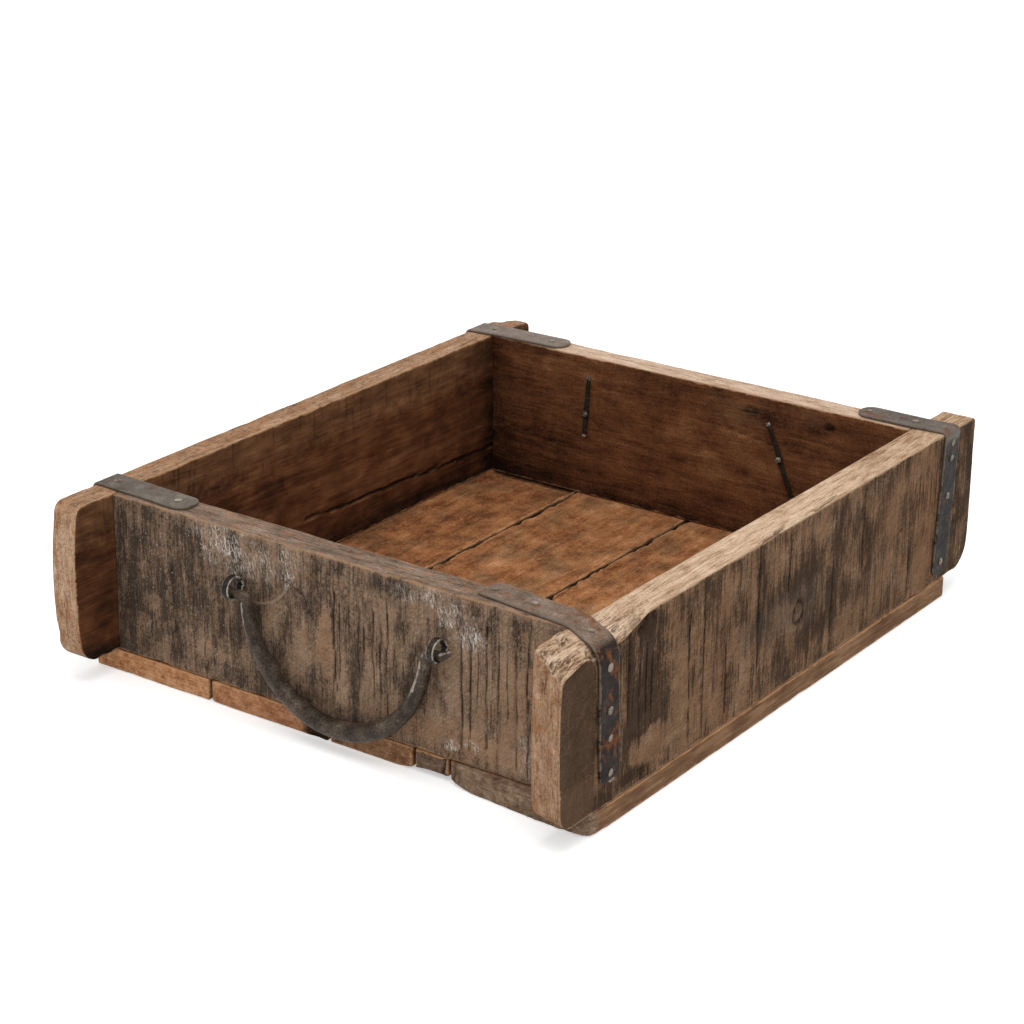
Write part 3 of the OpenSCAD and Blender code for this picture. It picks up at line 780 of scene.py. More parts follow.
def pin_centre(end):
    """Where a bail's hinge axis crosses the middle of its eyes, in mm"""
    joint = next(j for j in frame["joints"] if j["child"] == end + "_handle")
    return np.array(joint["pos_m"]) / MM


def bail(end, material, h, off, seed):
    path, radii = bail_path(EYE_SPAN[end], h, off)
    path = path + pin_centre(end)
    along = directions(path)
    side = np.cross(along, REARWARDS)
    angle = np.linspace(0, 2 * math.pi, BAR_SIDES, endpoint=False)
    reach = radii * (1 + 0.04 * rough_noise(path * MM, (16, 16, 16), seed))
    around = 1 - 0.04 * np.cos(4 * angle + 0.7)
    spokes = side[:, None] * np.cos(angle)[None, :, None] + REARWARDS * np.sin(angle)[None, :, None]
    grid = path[:, None] + reach[:, None, None] * around[None, :, None] * spokes
    first = [path[0] + (grid[0] - path[0]) * k - along[0] * push for k, push in TIP_DOME]
    last = [path[-1] + (grid[-1] - path[-1]) * k + along[-1] * push for k, push in TIP_DOME[::-1]]
    s = path_length(path)
    from_tip = np.minimum(s, s[-1] - s)
    # Lighter rim on the bar: rubbed wear near its ends and tips, kept to the side that faces up, left and
    # forwards, where it is a painted highlight
    polished = window(from_tip, 14, 50, 6) + (1 - step_up(from_tip, 5, 10))
    facing = step_up(spokes[..., X] * -0.55 - spokes[..., Y] * 0.65 + spokes[..., Z] * 0.3, 0.6, 0.85)
    rim = np.concatenate([np.ones((3, BAR_SIDES)), polished[:, None] * facing, np.ones((3, BAR_SIDES))])
    grid = np.concatenate([first, grid, last])
    ids, sides = ring_quads(*grid.shape[:2])
    quads = [sides]
    row = np.arange(BAR_SIDES // 2 - 1)
    for edge, turn in ((ids[0], 1), (ids[-1], -1)):
        across = [edge[row], edge[row + 1], edge[BAR_SIDES - 2 - row], edge[BAR_SIDES - 1 - row]]
        quads.append(np.stack(across[::turn], -1))
    mesh = (grid.reshape(-1, 3) * MM, np.concatenate(quads), rim.reshape(-1))
    node = end + "_bail"
    iron_object(node + "_iron", [mesh], 0.12, seed, end + "_handle", material, node)


# An eye in mm: half widths of its legs, the washer over them, and its ring
LEG_TIP = 1.5
LEG_ROOT = 2.1
KNOB_R = 2.9
KNOB_H = 2.2
KNOB_RINGS = ((0, 0.8), (0.4, 1.0), (0.8, 0.85), (1, 0.55))
RING_R = 8
EYE_T = 1.5
EYE_SPAN = {"front": 159.3, "rear": 166.8}
# Each eye: upper leg, lower leg and their lean in degrees
EYES = {
    "front_eye_left": (28, 20, -6),
    "front_eye_right": (27, 24, 9),
    "rear_eye_left": (29, 19, 4),
    "rear_eye_right": (28, 31, -23),
}


def eye(node, material, seed):
    """Split pin of strip iron: its ring, and two legs clinched over on the board's inside"""
    up, down, lean = EYES[node]
    end = node.split("_")[0]
    side = 1 if node.endswith("right") else -1
    inward = 1 if end == "front" else -1
    face = (Y_FRONT if end == "front" else Y_REAR) / MM
    inside = (Y_FRONT_INNER if end == "front" else Y_REAR_INNER) / MM
    thick = abs(inside - face)
    x = pin_centre(end)[X] + side * EYE_SPAN[end] / 2
    z = pin_centre(end)[Z] + RING_R - EYE_T - PIN_R - RUN_GAP
    lean = math.radians(lean)
    lie = thick + SEAT + EYE_T / 2
    leg = EYE_T / 2 + 0.05
    centre = -(RING_R + RUN_GAP)
    round_r = RING_R - EYE_T / 2
    arc = [(centre + round_r * math.cos(q), round_r * math.sin(q))
           for q in np.radians(np.linspace(-12, -348, 29))]
    body = [(0, lie, -1.5 * leg), (0, thick - 2, -leg), (0, -0.6, -leg)]
    body += [(0, y, zz) for y, zz in arc]
    body += [(0, -0.6, leg), (0, thick - 2, leg), (0, lie, 1.5 * leg)]
    tip_down = (-down * math.sin(lean), lie, -down * math.cos(lean))
    tip_up = (up * math.sin(lean), lie, up * math.cos(lean))
    bends = [1.3, 0.6, 1.2]
    radii = bends + [0.8] * len(arc) + bends[::-1]
    path = filleted([tip_down] + body + [tip_up], radii, 1.0)
    s = path_length(path)
    left = s[-1] - s
    reach = np.minimum(s / down, left / up)
    half = np.where(reach < 1, LEG_TIP + (LEG_ROOT - LEG_TIP) * reach, EYE_W / 2)
    leg_side = np.array([math.cos(lean), 0, -math.sin(lean)])
    blend = step_up(reach, 0.85, 1.0)[:, None]
    sideways = leg_side * (1 - blend) + RIGHT * blend
    path = path * [1, inward, 1] + [x, face, z]
    points, quads, rims = ribbon(path, sideways, half, -EYE_T / 2, EYE_T / 2, 7, 0.3)
    around = len(points) // len(path)
    tip = np.repeat(1 - step_up(np.minimum(s, left), 1.5, 3.5), around)
    on_ring = np.repeat(step_up(reach, 1.1, 1.3), around)
    rims = np.maximum(rims * (0.25 + 0.75 * on_ring), tip)
    knob_at = (x, face + inward * (lie + 0.2), z)
    knob = round_bar(knob_at, (0, inward, 0), KNOB_R, KNOB_H, KNOB_RINGS, 0.85)
    iron_object(node + "_iron", [(points, quads, rims), knob], 0.15, seed, "tray", material, node)


# Materials

def srgb(r, g, b):
    """Linear colour of an sRGB one given from 0 to 255"""
    linear = [((c / 255 + 0.055) / 1.055) ** 2.4 for c in (r, g, b)]
    return (*linear, 1)


class Paint:
    """A node material. Each method adds nodes and returns their output. Sizes are in mm along
    the given axes: for wood along the grain, across it and through the board."""

    def __init__(self, name, axes=(X, Y, Z), seed=0):
        self.material = bpy.data.materials.new(name)
        self.material.use_nodes = True
        self.tree = self.material.node_tree
        self.shader = self.tree.nodes["Principled BSDF"]
        self.axes, self.seed = list(axes), seed
        object_space = self.node("ShaderNodeTexCoord").outputs["Object"]
        self.place = self.vector("MULTIPLY", object_space, (1 / MM,) * 3)
        self.split = self.node("ShaderNodeSeparateXYZ")
        self.link(self.place, self.split.inputs[0])
        self.rag = None

    def node(self, kind, **values):
        made = self.tree.nodes.new(kind)
        for key, value in values.items():
            setattr(made, key, value)
        return made

    def link(self, value, socket):
        if isinstance(value, bpy.types.NodeSocket):
            self.tree.links.new(value, socket)
        else:
            socket.default_value = value

    def at(self, axis):
        """Place in mm along the board: 0 along the grain, 1 across it, 2 through it"""
        return self.split.outputs[self.axes[axis]]

    def vector(self, operation, a, b):
        made = self.node("ShaderNodeVectorMath", operation=operation)
        self.link(a, made.inputs[0])
        self.link(b, made.inputs[1])
        return made.outputs[0]

    def math(self, operation, a, b=0.0):
        made = self.node("ShaderNodeMath", operation=operation)
        self.link(a, made.inputs[0])
        self.link(b, made.inputs[1])
        return made.outputs[0]

    def all_of(self, operation, values):
        total = values[0]
        for value in values[1:]:
            total = self.math(operation, total, value)
        return total

    def times(self, *values):
        return self.all_of("MULTIPLY", values)

    def plus(self, *values):
        return self.all_of("ADD", values)

    def less(self, value, amount, share=1):
        return self.plus(value, self.times(amount, -share))

    def most(self, *values):
        return self.all_of("MAXIMUM", values)

    def fade(self, value, low, high, start=0.0, end=1.0):
        """Smooth change from start to end while value goes from low to high"""
        made = self.node("ShaderNodeMapRange", interpolation_type="SMOOTHSTEP", clamp=True)
        for socket, number in zip(made.inputs, (value, low, high, start, end)):
            self.link(number, socket)
        return made.outputs[0]

    def between(self, value, low, high, soft):
        rise = self.fade(value, low - soft, low + soft)
        return self.times(rise, self.fade(value, high - soft, high + soft, 1, 0))

    def noise(self, size, detail=3.0, rough=0.55, swirl=0.0, tilt=0.0):
        """Noise from about 0.25 to 0.75 with the given cell size. tilt turns it in the
        board's face, in degrees."""
        self.seed += 1
        source = self.place
        if tilt:
            made = self.node("ShaderNodeVectorRotate", rotation_type="AXIS_ANGLE")
            self.link(source, made.inputs["Vector"])
            made.inputs["Axis"].default_value = [float(i == self.axes[2]) for i in range(3)]
            made.inputs["Angle"].default_value = math.radians(tilt)
            source = made.outputs[0]
        scale = [0.0] * 3
        for axis, cell in zip(self.axes, size):
            scale[axis] = 1 / cell
        stretched = self.vector("MULTIPLY", source, tuple(scale))
        shifted = self.vector("ADD", stretched, (self.seed * 7.3, self.seed * 3.9, self.seed * 5.1))
        made = self.node("ShaderNodeTexNoise")
        self.link(shifted, made.inputs["Vector"])
        settings = {"Scale": 1.0, "Detail": detail, "Roughness": rough, "Distortion": swirl}
        for key, value in settings.items():
            made.inputs[key].default_value = value
        return made.outputs["Fac"]

    def swing(self, weight, *how):
        """A noise about 0 that reaches about a quarter of weight either way"""
        return self.times(self.plus(self.noise(*how), -0.5), weight)

    def field(self, *layers):
        """Weighted noises that swing about 0.5: (weight, size, detail and so on)"""
        return self.plus(*(self.swing(*layer) for layer in layers), 0.5)

    def near_zero(self, value, low, high):
        """1 where the value lies within low of 0, fading to 0 at a distance of high"""
        return self.fade(self.math("ABSOLUTE", value), low, high, 1, 0)

    def length(self, a, b):
        return self.math("SQRT", self.plus(self.times(a, a), self.times(b, b)))

    def cracks(self, size, width, cover=0.5):
        """Thin broken lines that follow the longer way of size"""
        line = self.near_zero(self.swing(1, size, 2, 0.5, 0.3), 0, width)
        whole = self.noise([max(s * 0.6, 8) for s in size], 2)
        return self.times(line, self.fade(whole, 0.95 - cover, 1.05 - cover))

    def lines(self, marks):
        """Thin upright lines on a board's face: (along, lower end, upper end)"""
        drawn = self.plus(self.at(0), self.swing(6, (30, 26, 300), 2))
        parts = []
        for along, low, high in marks:
            line = self.near_zero(self.plus(drawn, -along), 0.225, 0.765)
            parts.append(self.times(line, self.between(self.at(1), low, high, 6)))
        return self.times(self.most(*parts), self.fade(self.noise((2, 9, 2), 3), 0.36, 0.52))

    def mask(self, name):
        return self.node("ShaderNodeAttribute", attribute_name=name).outputs["Fac"]

    def rag_field(self):
        """One small noise about 0, which all patches share"""
        if self.rag is None:
            self.rag = self.swing(1, (7, 7, 7), 4, 0.6)
        return self.rag

    def spot(self, along, across, half_length, half_height, ragged=0.3, soft=0.4):
        """A ragged patch on the face, centred at a place along and across the board"""
        reach = self.length(
            self.times(self.plus(self.at(0), -along), 1 / half_length),
            self.times(self.plus(self.at(1), -across), 1 / half_height))
        reach = self.plus(reach, self.times(self.rag_field(), 6 * ragged))
        return self.fade(reach, 1 - soft, 1 + soft, 1, 0)

    def patches(self, places, **how):
        """Several spots as one mask: (along, across, half length, half height, strength)"""
        return self.most(*(self.times(self.spot(*at, **how), strength) for *at, strength in places))

    def blend(self, amount, below, above):
        made = self.node("ShaderNodeMix", data_type="RGBA", clamp_factor=True)
        self.link(amount, made.inputs["Factor"])
        self.link(below, made.inputs[6])
        self.link(above, made.inputs[7])
        return made.outputs[2]

    def palette(self, value, *colours):
        """Colour from evenly spaced sRGB ones, the first at 0 and the last at 1"""
        made = self.node("ShaderNodeValToRGB")
        bar = made.color_ramp.elements
        while len(bar) < len(colours):
            bar.new(0.5)
        for index, colour in enumerate(colours):
            bar[index].position = index / (len(colours) - 1)
        for index, colour in enumerate(colours):
            bar[index].color = srgb(*colour)
        self.link(value, made.inputs[0])
        return made.outputs[0]

    def cover(self, colour, *layers):
        """The colour under layers, given in turn as (mask, strength, sRGB colour or socket)"""
        for mask, strength, layer in layers:
            if isinstance(layer, tuple):
                layer = srgb(*layer)
            colour = self.blend(self.times(mask, strength), colour, layer)
        return colour

    def swap(self, amount, a, b):
        """The number a where amount is 0 and b where it is 1"""
        made = self.node("ShaderNodeMix", data_type="FLOAT", clamp_factor=True)
        for index, number in ((0, amount), (2, a), (3, b)):
            self.link(number, made.inputs[index])
        return made.outputs[0]

    def bump(self, height, depth):
        """Surface relief, with height from 0 to 1 and depth in mm"""
        made = self.node("ShaderNodeBump")
        made.inputs["Distance"].default_value = depth * MM
        self.link(height, made.inputs["Height"])
        self.link(made.outputs[0], self.shader.inputs["Normal"])

    def finish(self, colour, roughness, metallic=0.0):
        self.link(colour, self.shader.inputs["Base Color"])
        self.link(roughness, self.shader.inputs["Roughness"])
        self.link(metallic, self.shader.inputs["Metallic"])
        return self.material


# Colours from dark to light
UNSEEN_DARK = (24, 17, 12)
EAR_END = ((98, 66, 42), (130, 96, 68), (158, 124, 96), (178, 146, 118), (204, 176, 148))
HIDDEN_INNER = ((34, 20, 12), (62, 36, 21), (86, 54, 33), (108, 72, 47))


def wood_paint(name, axes, seed):
    p = Paint(name, axes, seed)
    p.shader.inputs["Specular IOR Level"].default_value = 0.12
    return p


def sawn_face(p, tilt=44, streaks=1.0):
    """Sawn face, as two numbers about 0.5: the bare wood's tone, and how sooty it is. tilt
    turns the saw's marks, and streaks is how strong the narrow upright ones are."""
    bare = p.field(
        (1.4, (1.1, 1.1, 1.1), 3, 0.7), (0.6, (12, 1.7, 2), 4, 0.6, 0.4), (0.9, (18, 26, 20), 4, 0.62),
        (0.7, (22, 0.9, 6), 3, 0.6, 0.0, tilt))
    soot = p.field(
        (0.9 * streaks, (2.2, 22, 6), 4, 0.66, 0.2), (1.0, (6, 36, 20), 4, 0.62, 0.4),
        (1.1, (20, 32, 30), 4),
        (0.9, (1.1, 2.6, 1.2), 3, 0.7), (0.8 * streaks, (0.9, 60, 6), 3, 0.6))
    return bare, soot


def sooted(p, bare, soot, woods, soots):
    """Colour and height of a face, from the colours of its bare wood and of its soot"""
    amount = p.fade(soot, 0.22, 0.78)
    colour = p.blend(p.times(amount, 0.95), p.palette(bare, *woods), p.palette(bare, *soots))
    warm = p.times(p.fade(p.noise((5, 13, 8), 4, 0.6), 0.54, 0.68), p.fade(amount, 0.1, 0.8, 1, 0.3))
    colour = p.cover(colour, (warm, 0.5, (152, 108, 72)))
    return colour, p.less(bare, amount, 0.25)


def end_grain(p, *colours):
    """Weathered end of a board, with rings, checks and rusty blotches"""
    rough = p.field(
        (1.2, (9, 14, 7), 4, 0.6), (1.0, (3, 2.2, 1.1), 4, 0.65), (0.8, (2, 22, 0.9), 3, 0.6),
        (1.0, (1.2, 1.2, 1.2), 3, 0.65))
    rust = p.fade(p.noise((9, 9, 9), 4, 0.6), 0.53, 0.62)
    stain = p.fade(p.noise((5, 6, 5), 4, 0.62), 0.62, 0.7)
    checks = p.cracks((9, 26, 2.6), 0.03, 0.35)
    colour = p.cover(
        p.palette(rough, *colours),
        (rust, 0.45, (162, 102, 58)), (stain, 0.4, (92, 64, 44)), (checks, 0.6, (66, 44, 28)))
    return colour, p.less(rough, checks, 0.6)


def worn_top(p, colours, shift=0.0, stained=0.0):
    """Upper edge of a board, bleached and splintered along its grain. shift makes it lighter,
    and stained is how strong its rusty and dirty blotches are."""
    value = p.field(
        (1.3, (14, 1.0, 1.0), 4, 0.62), (0.8, (50, 4, 4), 3, 0.6, 0.4), (0.9, (1.2, 1.2, 1.2), 3, 0.65),
        (0.8, (22, 12, 12), 4, 0.6))
    value = p.plus(value, shift)
    splits = p.cracks((50, 2.4, 2.4), 0.03, 0.3)
    pits = p.fade(p.noise((4, 1.4, 1.4), 3), 0.7, 0.76)
    dark = p.most(p.times(splits, 0.8), p.times(pits, 0.4))
    colour = p.cover(p.palette(value, *colours), (dark, 1, (92, 64, 44)))
    if stained:
        rust = p.fade(p.noise((8, 5, 5), 4, 0.68), 0.5, 0.64)
        dirt = p.fade(p.noise((6, 4, 4), 4, 0.68), 0.52, 0.64)
        colour = p.cover(colour, (rust, stained, (172, 112, 68)), (dirt, stained, (74, 60, 50)))
    return colour, p.less(value, dark, 0.7)


def finish_wood(p, outer, inner, top, end, bare, relief=0.55):
    """Joins a board's faces. Each is (colour, height), bare colours its worn arrises, and
    relief is in mm."""
    masks = {name: p.mask(name) for name in ("inner", "top", "end", "arris", "groove")}
    colour, height = outer
    for name, (layer, layer_height) in (("inner", inner), ("top", top), ("end", end)):
        colour = p.blend(masks[name], colour, layer)
        height = p.swap(masks[name], height, layer_height)
    ragged = p.fade(p.plus(masks["arris"], p.swing(2.2, (9, 3, 3), 4, 0.65)), 0.55, 0.95)
    colour = p.cover(colour, (ragged, 0.6, bare), (masks["groove"], 0.88, UNSEEN_DARK))
    p.bump(height, relief)
    return p.finish(colour, p.fade(height, 0, 1, 0.92, 0.74))


def right_board_wood():
    p = wood_paint("wood_right", SIDE_AXES, 100)
    bare, soot = sawn_face(p, -44)
    y, z = p.at(0), p.at(1)
    darker = p.patches((
        (-172, 84, 24, 46, 0.14), (-150, 62, 12, 22, 0.1), (38, 62, 26, 26, 0.2), (0, 84, 30, 10, 0.16),
        (-36, 96, 6, 34, 0.2), (60, 100, 24, 22, 0.14), (8, 40, 26, 14, 0.16), (105, 80, 24, 40, 0.10),
        (-20, 30, 30, 8, 0.12), (-180, 24, 16, 4, 0.3), (-72, 40, 10, 20, 0.12)))
    lighter = p.patches((
        (-158, 37, 26, 11, 0.42), (-122, 60, 20, 40, 0.14), (-60, 50, 16, 26, 0.14), (-88, 30, 30, 12, 0.14),
        (168, 70, 34, 44, 0.06), (-140, 22, 30, 6, 0.16), (85, 30, 40, 12, 0.12), (30, 108, 30, 8, 0.1)))
    ragged_y = p.plus(y, p.times(p.rag_field(), 90))
    grimy = p.between(ragged_y, -212, -144, 14)
    ears = p.most(p.fade(y, -230, -216, 1, 0), p.fade(y, 202, 216))
    soot = p.plus(p.less(soot, lighter), darker, p.times(grimy, 0.17), p.times(ears, 0.2), -0.03)
    colour, height = sooted(
        p, bare, soot, ((80, 57, 38), (112, 84, 60), (138, 108, 82), (170, 140, 112)),
        ((34, 23, 15), (54, 39, 27), (76, 57, 42)))
    red = p.patches(((-80, 60, 8, 50, 0.3), (190, 60, 14, 60, 0.35), (150, 90, 30, 30, 0.2)))
    colour = p.cover(colour, (red, p.fade(bare, 0.3, 0.6), (118, 76, 48)))
    slate = p.spot(-2, 66, 62, 14, 0.35)
    colour = p.cover(colour, (slate, 0.3, (66, 62, 58)))
    ear = p.palette(bare, (52, 38, 27), (70, 53, 39), (86, 66, 50), (110, 86, 66))
    ear = p.cover(ear, (p.fade(z, 40, 43, 1, 0), 0.3, (112, 84, 58)))
    colour = p.cover(colour, (p.fade(y, -224, -219, 1, 0), 0.85, ear))
    splits = p.most(p.cracks((4, 70, 20), 0.018, 0.36), p.lines((
        (-186.6, 58, 116), (-174.5, 44, 112), (-167.4, 50, 108), (-161.8, 50, 98), (-172, 17, 27),
        (-162, 17, 26), (-181, 60, 100), (-155, 70, 118), (-119, 20, 112), (-103, 18, 106), (-76, 24, 76),
        (-38, 40, 124), (-1, 80, 122), (57, 18, 92), (97, 60, 122), (166, 20, 60))))
    splits = p.times(splits, p.fade(y, -222, -218))
    colour = p.cover(colour, (splits, 0.7, (30, 21, 14)))
    outer = (colour, p.less(height, splits, 0.5))
    tops = ((112, 80, 54), (160, 127, 98), (196, 166, 137), (218, 190, 163), (236, 214, 190))
    top, top_height = worn_top(p, tops, p.fade(y, 70, 150, 0, -0.13))
    torn = p.times(p.cracks((24, 12, 1.5), 0.035, 0.62), p.fade(y, -196, -160, 1, 0))
    top = (p.cover(top, (torn, 0.8, (96, 64, 42))), p.less(top_height, torn, 0.8))
    inner = (p.palette(bare, *HIDDEN_INNER), bare)
    return finish_wood(p, outer, inner, top, end_grain(p, *EAR_END), (178, 148, 118))


def left_board_wood():
    p = wood_paint("wood_left", SIDE_AXES, 200)
    grain = p.field(
        (0.55, (18, 1.1, 1.1), 4, 0.62), (0.8, (60, 4.5, 4.5), 3, 0.6, 0.4), (1.1, (24, 14, 14), 4, 0.6))
    y, z = p.at(0), p.at(1)
    band = p.fade(p.plus(z, p.times(p.rag_field(), 60)), 90, 106)
    marks = p.times(p.fade(p.noise((2.2, 26, 4), 3), 0.55, 0.7), band)
    darker = p.patches((
        (-60, 75, 18, 12, 0.2), (60, 28, 120, 9, 0.12), (190, 70, 26, 50, 0.14), (-130, 78, 42, 24, 0.14)))
    lighter = p.patches(((100, 55, 30, 10, 0.14), (20, 62, 30, 9, 0.12), (-100, 40, 60, 14, 0.08)))
    # Painted shade: darker towards the floor and towards the corners with the end boards
    corner_shade = p.plus(p.fade(z, 16, 40, 0.34, 0), p.fade(y, 182, 203, 0, 0.2), p.fade(y, -220, -212, 0.14, 0))
    tone = p.plus(p.less(grain, p.plus(darker, corner_shade)), lighter, 0.04)
    colour = p.palette(tone, (28, 15, 8), (62, 35, 19), (90, 54, 31), (114, 75, 47), (142, 100, 68))
    olive = p.palette(tone, (54, 36, 22), (90, 60, 38), (122, 87, 59), (150, 114, 84))
    run = p.plus(z, p.times(y, 0.048), -45, p.swing(10, (40, 60, 90), 3))
    line = p.times(p.near_zero(run, 0.5, 1.6), p.fade(y, -40, 20))
    line = p.times(line, p.fade(p.noise((9, 3, 3), 3), 0.34, 0.5, 0.5, 1))
    inner = p.cover(colour, (band, 0.7, olive), (marks, 0.5, (48, 30, 19)), (line, 1, (22, 12, 7)))
    inner = (inner, p.less(tone, line, 0.4))
    outer = sooted(
        p, *sawn_face(p), ((88, 66, 48), (122, 94, 70), (148, 118, 92), (176, 146, 118)),
        ((44, 34, 26), (66, 51, 40), (90, 72, 58)))
    tops = ((84, 54, 34), (126, 92, 64), (154, 120, 92), (180, 145, 116), (208, 176, 146))
    top = worn_top(p, tops, 0.0, 0.5)
    end = end_grain(p, (112, 76, 48), (144, 106, 76), (174, 140, 112), (196, 164, 136), (218, 190, 164))
    return finish_wood(p, outer, inner, top, end, (186, 148, 112))


def front_board_wood():
    p = wood_paint("wood_front", END_AXES, 300)
    bare, soot = sawn_face(p, 44, 0.7)
    x, z = p.at(0), p.at(1)
    darker = p.patches((
        (-158, 96, 24, 30, 0.1), (-120, 80, 20, 30, 0.1), (17, 66, 7, 28, 0.2), (60, 70, 12, 34, 0.1),
        (-170, 40, 14, 30, 0.08), (120, 104, 16, 16, 0.1), (-60, 26, 60, 6, 0.1), (40, 118, 120, 5, 0.14)))
    lighter = p.patches((
        (-4, 68, 6, 18, 0.42), (-148, 58, 8, 7, 0.26), (-103, 34, 6, 6, 0.26), (-90, 36, 8, 5, 0.24),
        (30, 50, 8, 26, 0.14), (95, 34, 50, 9, 0.2), (40, 90, 8, 20, 0.12), (148, 60, 22, 44, 0.12),
        (96, 70, 8, 34, 0.12), (-25, 50, 10, 20, 0.12), (112, 52, 8, 24, 0.12)))
    soot = p.plus(p.less(soot, lighter), darker, p.fade(x, -150, 150, 0.07, -0.12))
    colour, height = sooted(
        p, bare, soot, ((96, 74, 56), (130, 105, 84), (158, 131, 107), (184, 158, 134)),
        ((34, 28, 23), (60, 50, 42), (92, 78, 67)))
    tan = p.patches(((95, 30, 55, 10, 0.5), (150, 60, 26, 50, 0.35), (-4, 68, 6, 18, 0.6)))
    colour = p.cover(colour, (tan, p.fade(bare, 0.3, 0.6), (160, 120, 88)))
    splits = p.lines((
        (100.4, 24, 114), (106.3, 26, 98), (112, 58, 112), (117.8, 30, 112), (122, 44, 90), (126.6, 26, 106),
        (133, 50, 104), (139.6, 24, 110), (147.6, 20, 118), (153, 40, 112), (2.8, 34, 106), (6.7, 42, 98),
        (12, 48, 92), (22, 44, 98), (26, 58, 106), (33, 38, 100), (38.5, 44, 94), (43.8, 30, 102),
        (49.5, 50, 92), (56, 58, 98), (64, 60, 92), (-129, 40, 92), (-104, 30, 70)))
    splits = p.most(splits, p.times(p.cracks((2.4, 60, 20), 0.02, 0.4), 0.7))
    colour = p.cover(colour, (splits, 0.65, (32, 26, 21)))
    arc = p.near_zero(p.plus(p.length(p.plus(x, 62), p.plus(z, -112)), -32), 0.3, 1.2)
    arc = p.times(arc, p.between(x, -60, -34, 3), p.fade(z, 108, 113, 1, 0))
    colour = p.cover(colour, (arc, 0.5, (166, 142, 120)))
    flecks = p.most(
        p.fade(p.noise((1.1, 6, 2), 3, 0.7, 0.5, 14), 0.53, 0.59),
        p.fade(p.noise((1.0, 1.6, 2), 3, 0.7), 0.56, 0.61))
    flecks = p.times(flecks, p.fade(p.noise((6, 10, 4), 3, 0.65), 0.42, 0.58, 0.4, 1))
    limed = p.patches((
        (-84, 113, 16, 14, 0.9), (-72, 104, 9, 9, 0.8), (-34, 112, 7, 12, 0.9), (-52, 108, 14, 12, 0.5),
        (-100, 118, 16, 6, 0.5), (80, 121, 9, 7, 1), (91, 112, 9, 8, 1), (104, 101, 9, 9, 0.9),
        (93, 26, 5, 3, 1), (108, 30, 5, 3, 1), (150, 36, 10, 18, 0.4), (60, 117, 12, 5, 0.5)),
        ragged=0.6, soft=0.5)
    dots = p.fade(p.noise((1.1, 1.6, 1.1), 2), 0.66, 0.7)
    dotted = p.patches(((-140, 92, 44, 30, 0.9), (-104, 40, 22, 30, 0.8), (110, 90, 50, 30, 0.6)), soft=0.7)
    lime = p.most(p.times(flecks, limed), p.times(dots, dotted))
    colour = p.cover(colour, (lime, 0.92, (222, 217, 209)))
    outer = (colour, p.less(height, splits, 0.5))
    tops = ((52, 42, 34), (92, 76, 62), (126, 106, 90), (154, 131, 113), (184, 162, 144))
    top = worn_top(p, tops, 0.0, 0.35)
    inner = (p.palette(bare, *HIDDEN_INNER), bare)
    return finish_wood(p, outer, inner, top, end_grain(p, *EAR_END), (168, 132, 100), 0.6)


def rear_board_wood():
    p = wood_paint("wood_rear", END_AXES, 400)
    x, z = p.at(0), p.at(1)
    grain = p.field(
        (0.55, (16, 1.2, 1.2), 4, 0.6, 0.5), (0.8, (60, 7, 7), 3, 0.6, 0.8), (1.0, (26, 18, 18), 4, 0.62),
        (0.8, (1.2, 1.2, 1.2), 3, 0.65))
    darker = p.patches((
        (80, 110, 26, 7, 0.2), (50, 112, 6, 4, 0.4), (113, 113.5, 5, 3, 0.4), (-150, 40, 40, 24, 0.14),
        (120, 40, 60, 20, 0.08)))
    lighter = p.patches(((-110, 113, 28, 7, 0.18), (20, 80, 50, 20, 0.12), (-60, 80, 30, 20, 0.08)))
    # Painted shade: darker towards the floor and towards the corner with the left board
    corner_shade = p.plus(p.fade(z, 16, 38, 0.26, 0), p.fade(x, -178, -150, 0.16, 0))
    tone = p.plus(p.less(grain, p.plus(darker, corner_shade)), lighter, p.fade(x, -60, 40, 0, 0.05))
    colour = p.palette(tone, (30, 16, 9), (64, 37, 21), (98, 60, 36), (122, 80, 50), (150, 106, 72))
    grey = p.patches(((36, 108, 22, 10, 0.5), (96, 116, 14, 5, 0.5)), ragged=0.6, soft=0.7)
    grey = p.times(grey, p.fade(p.noise((14, 1.6, 1.6), 4, 0.65, 0.6), 0.4, 0.6))
    inner = (p.cover(colour, (grey, 1, (112, 92, 68))), tone)
    outer = sooted(
        p, *sawn_face(p), ((86, 64, 46), (120, 92, 68), (146, 116, 90), (174, 144, 116)),
        ((42, 32, 25), (64, 49, 38), (88, 70, 56)))
    top = worn_top(p, ((112, 82, 58), (160, 128, 102), (198, 169, 144), (216, 190, 166), (234, 212, 192)))
    return finish_wood(p, outer, inner, top, end_grain(p, *EAR_END), (186, 150, 118))


# Lightness of each plank's upper face, and its front end's colours from dark to light
PLANKS = {
    1: (-0.06, ((118, 68, 38), (166, 114, 76), (198, 148, 108), (216, 172, 136))),
    2: (0.02, ((118, 74, 44), (156, 106, 72), (186, 136, 100), (206, 162, 128))),
    3: (0.0, ((84, 56, 38), (120, 84, 58), (150, 112, 82), (176, 140, 110))),
    4: (-0.02, ((56, 44, 34), (86, 68, 53), (112, 92, 74), (140, 118, 96))),
    5: (-0.02, ((80, 60, 45), (114, 90, 72), (144, 120, 98), (176, 150, 126))),
}


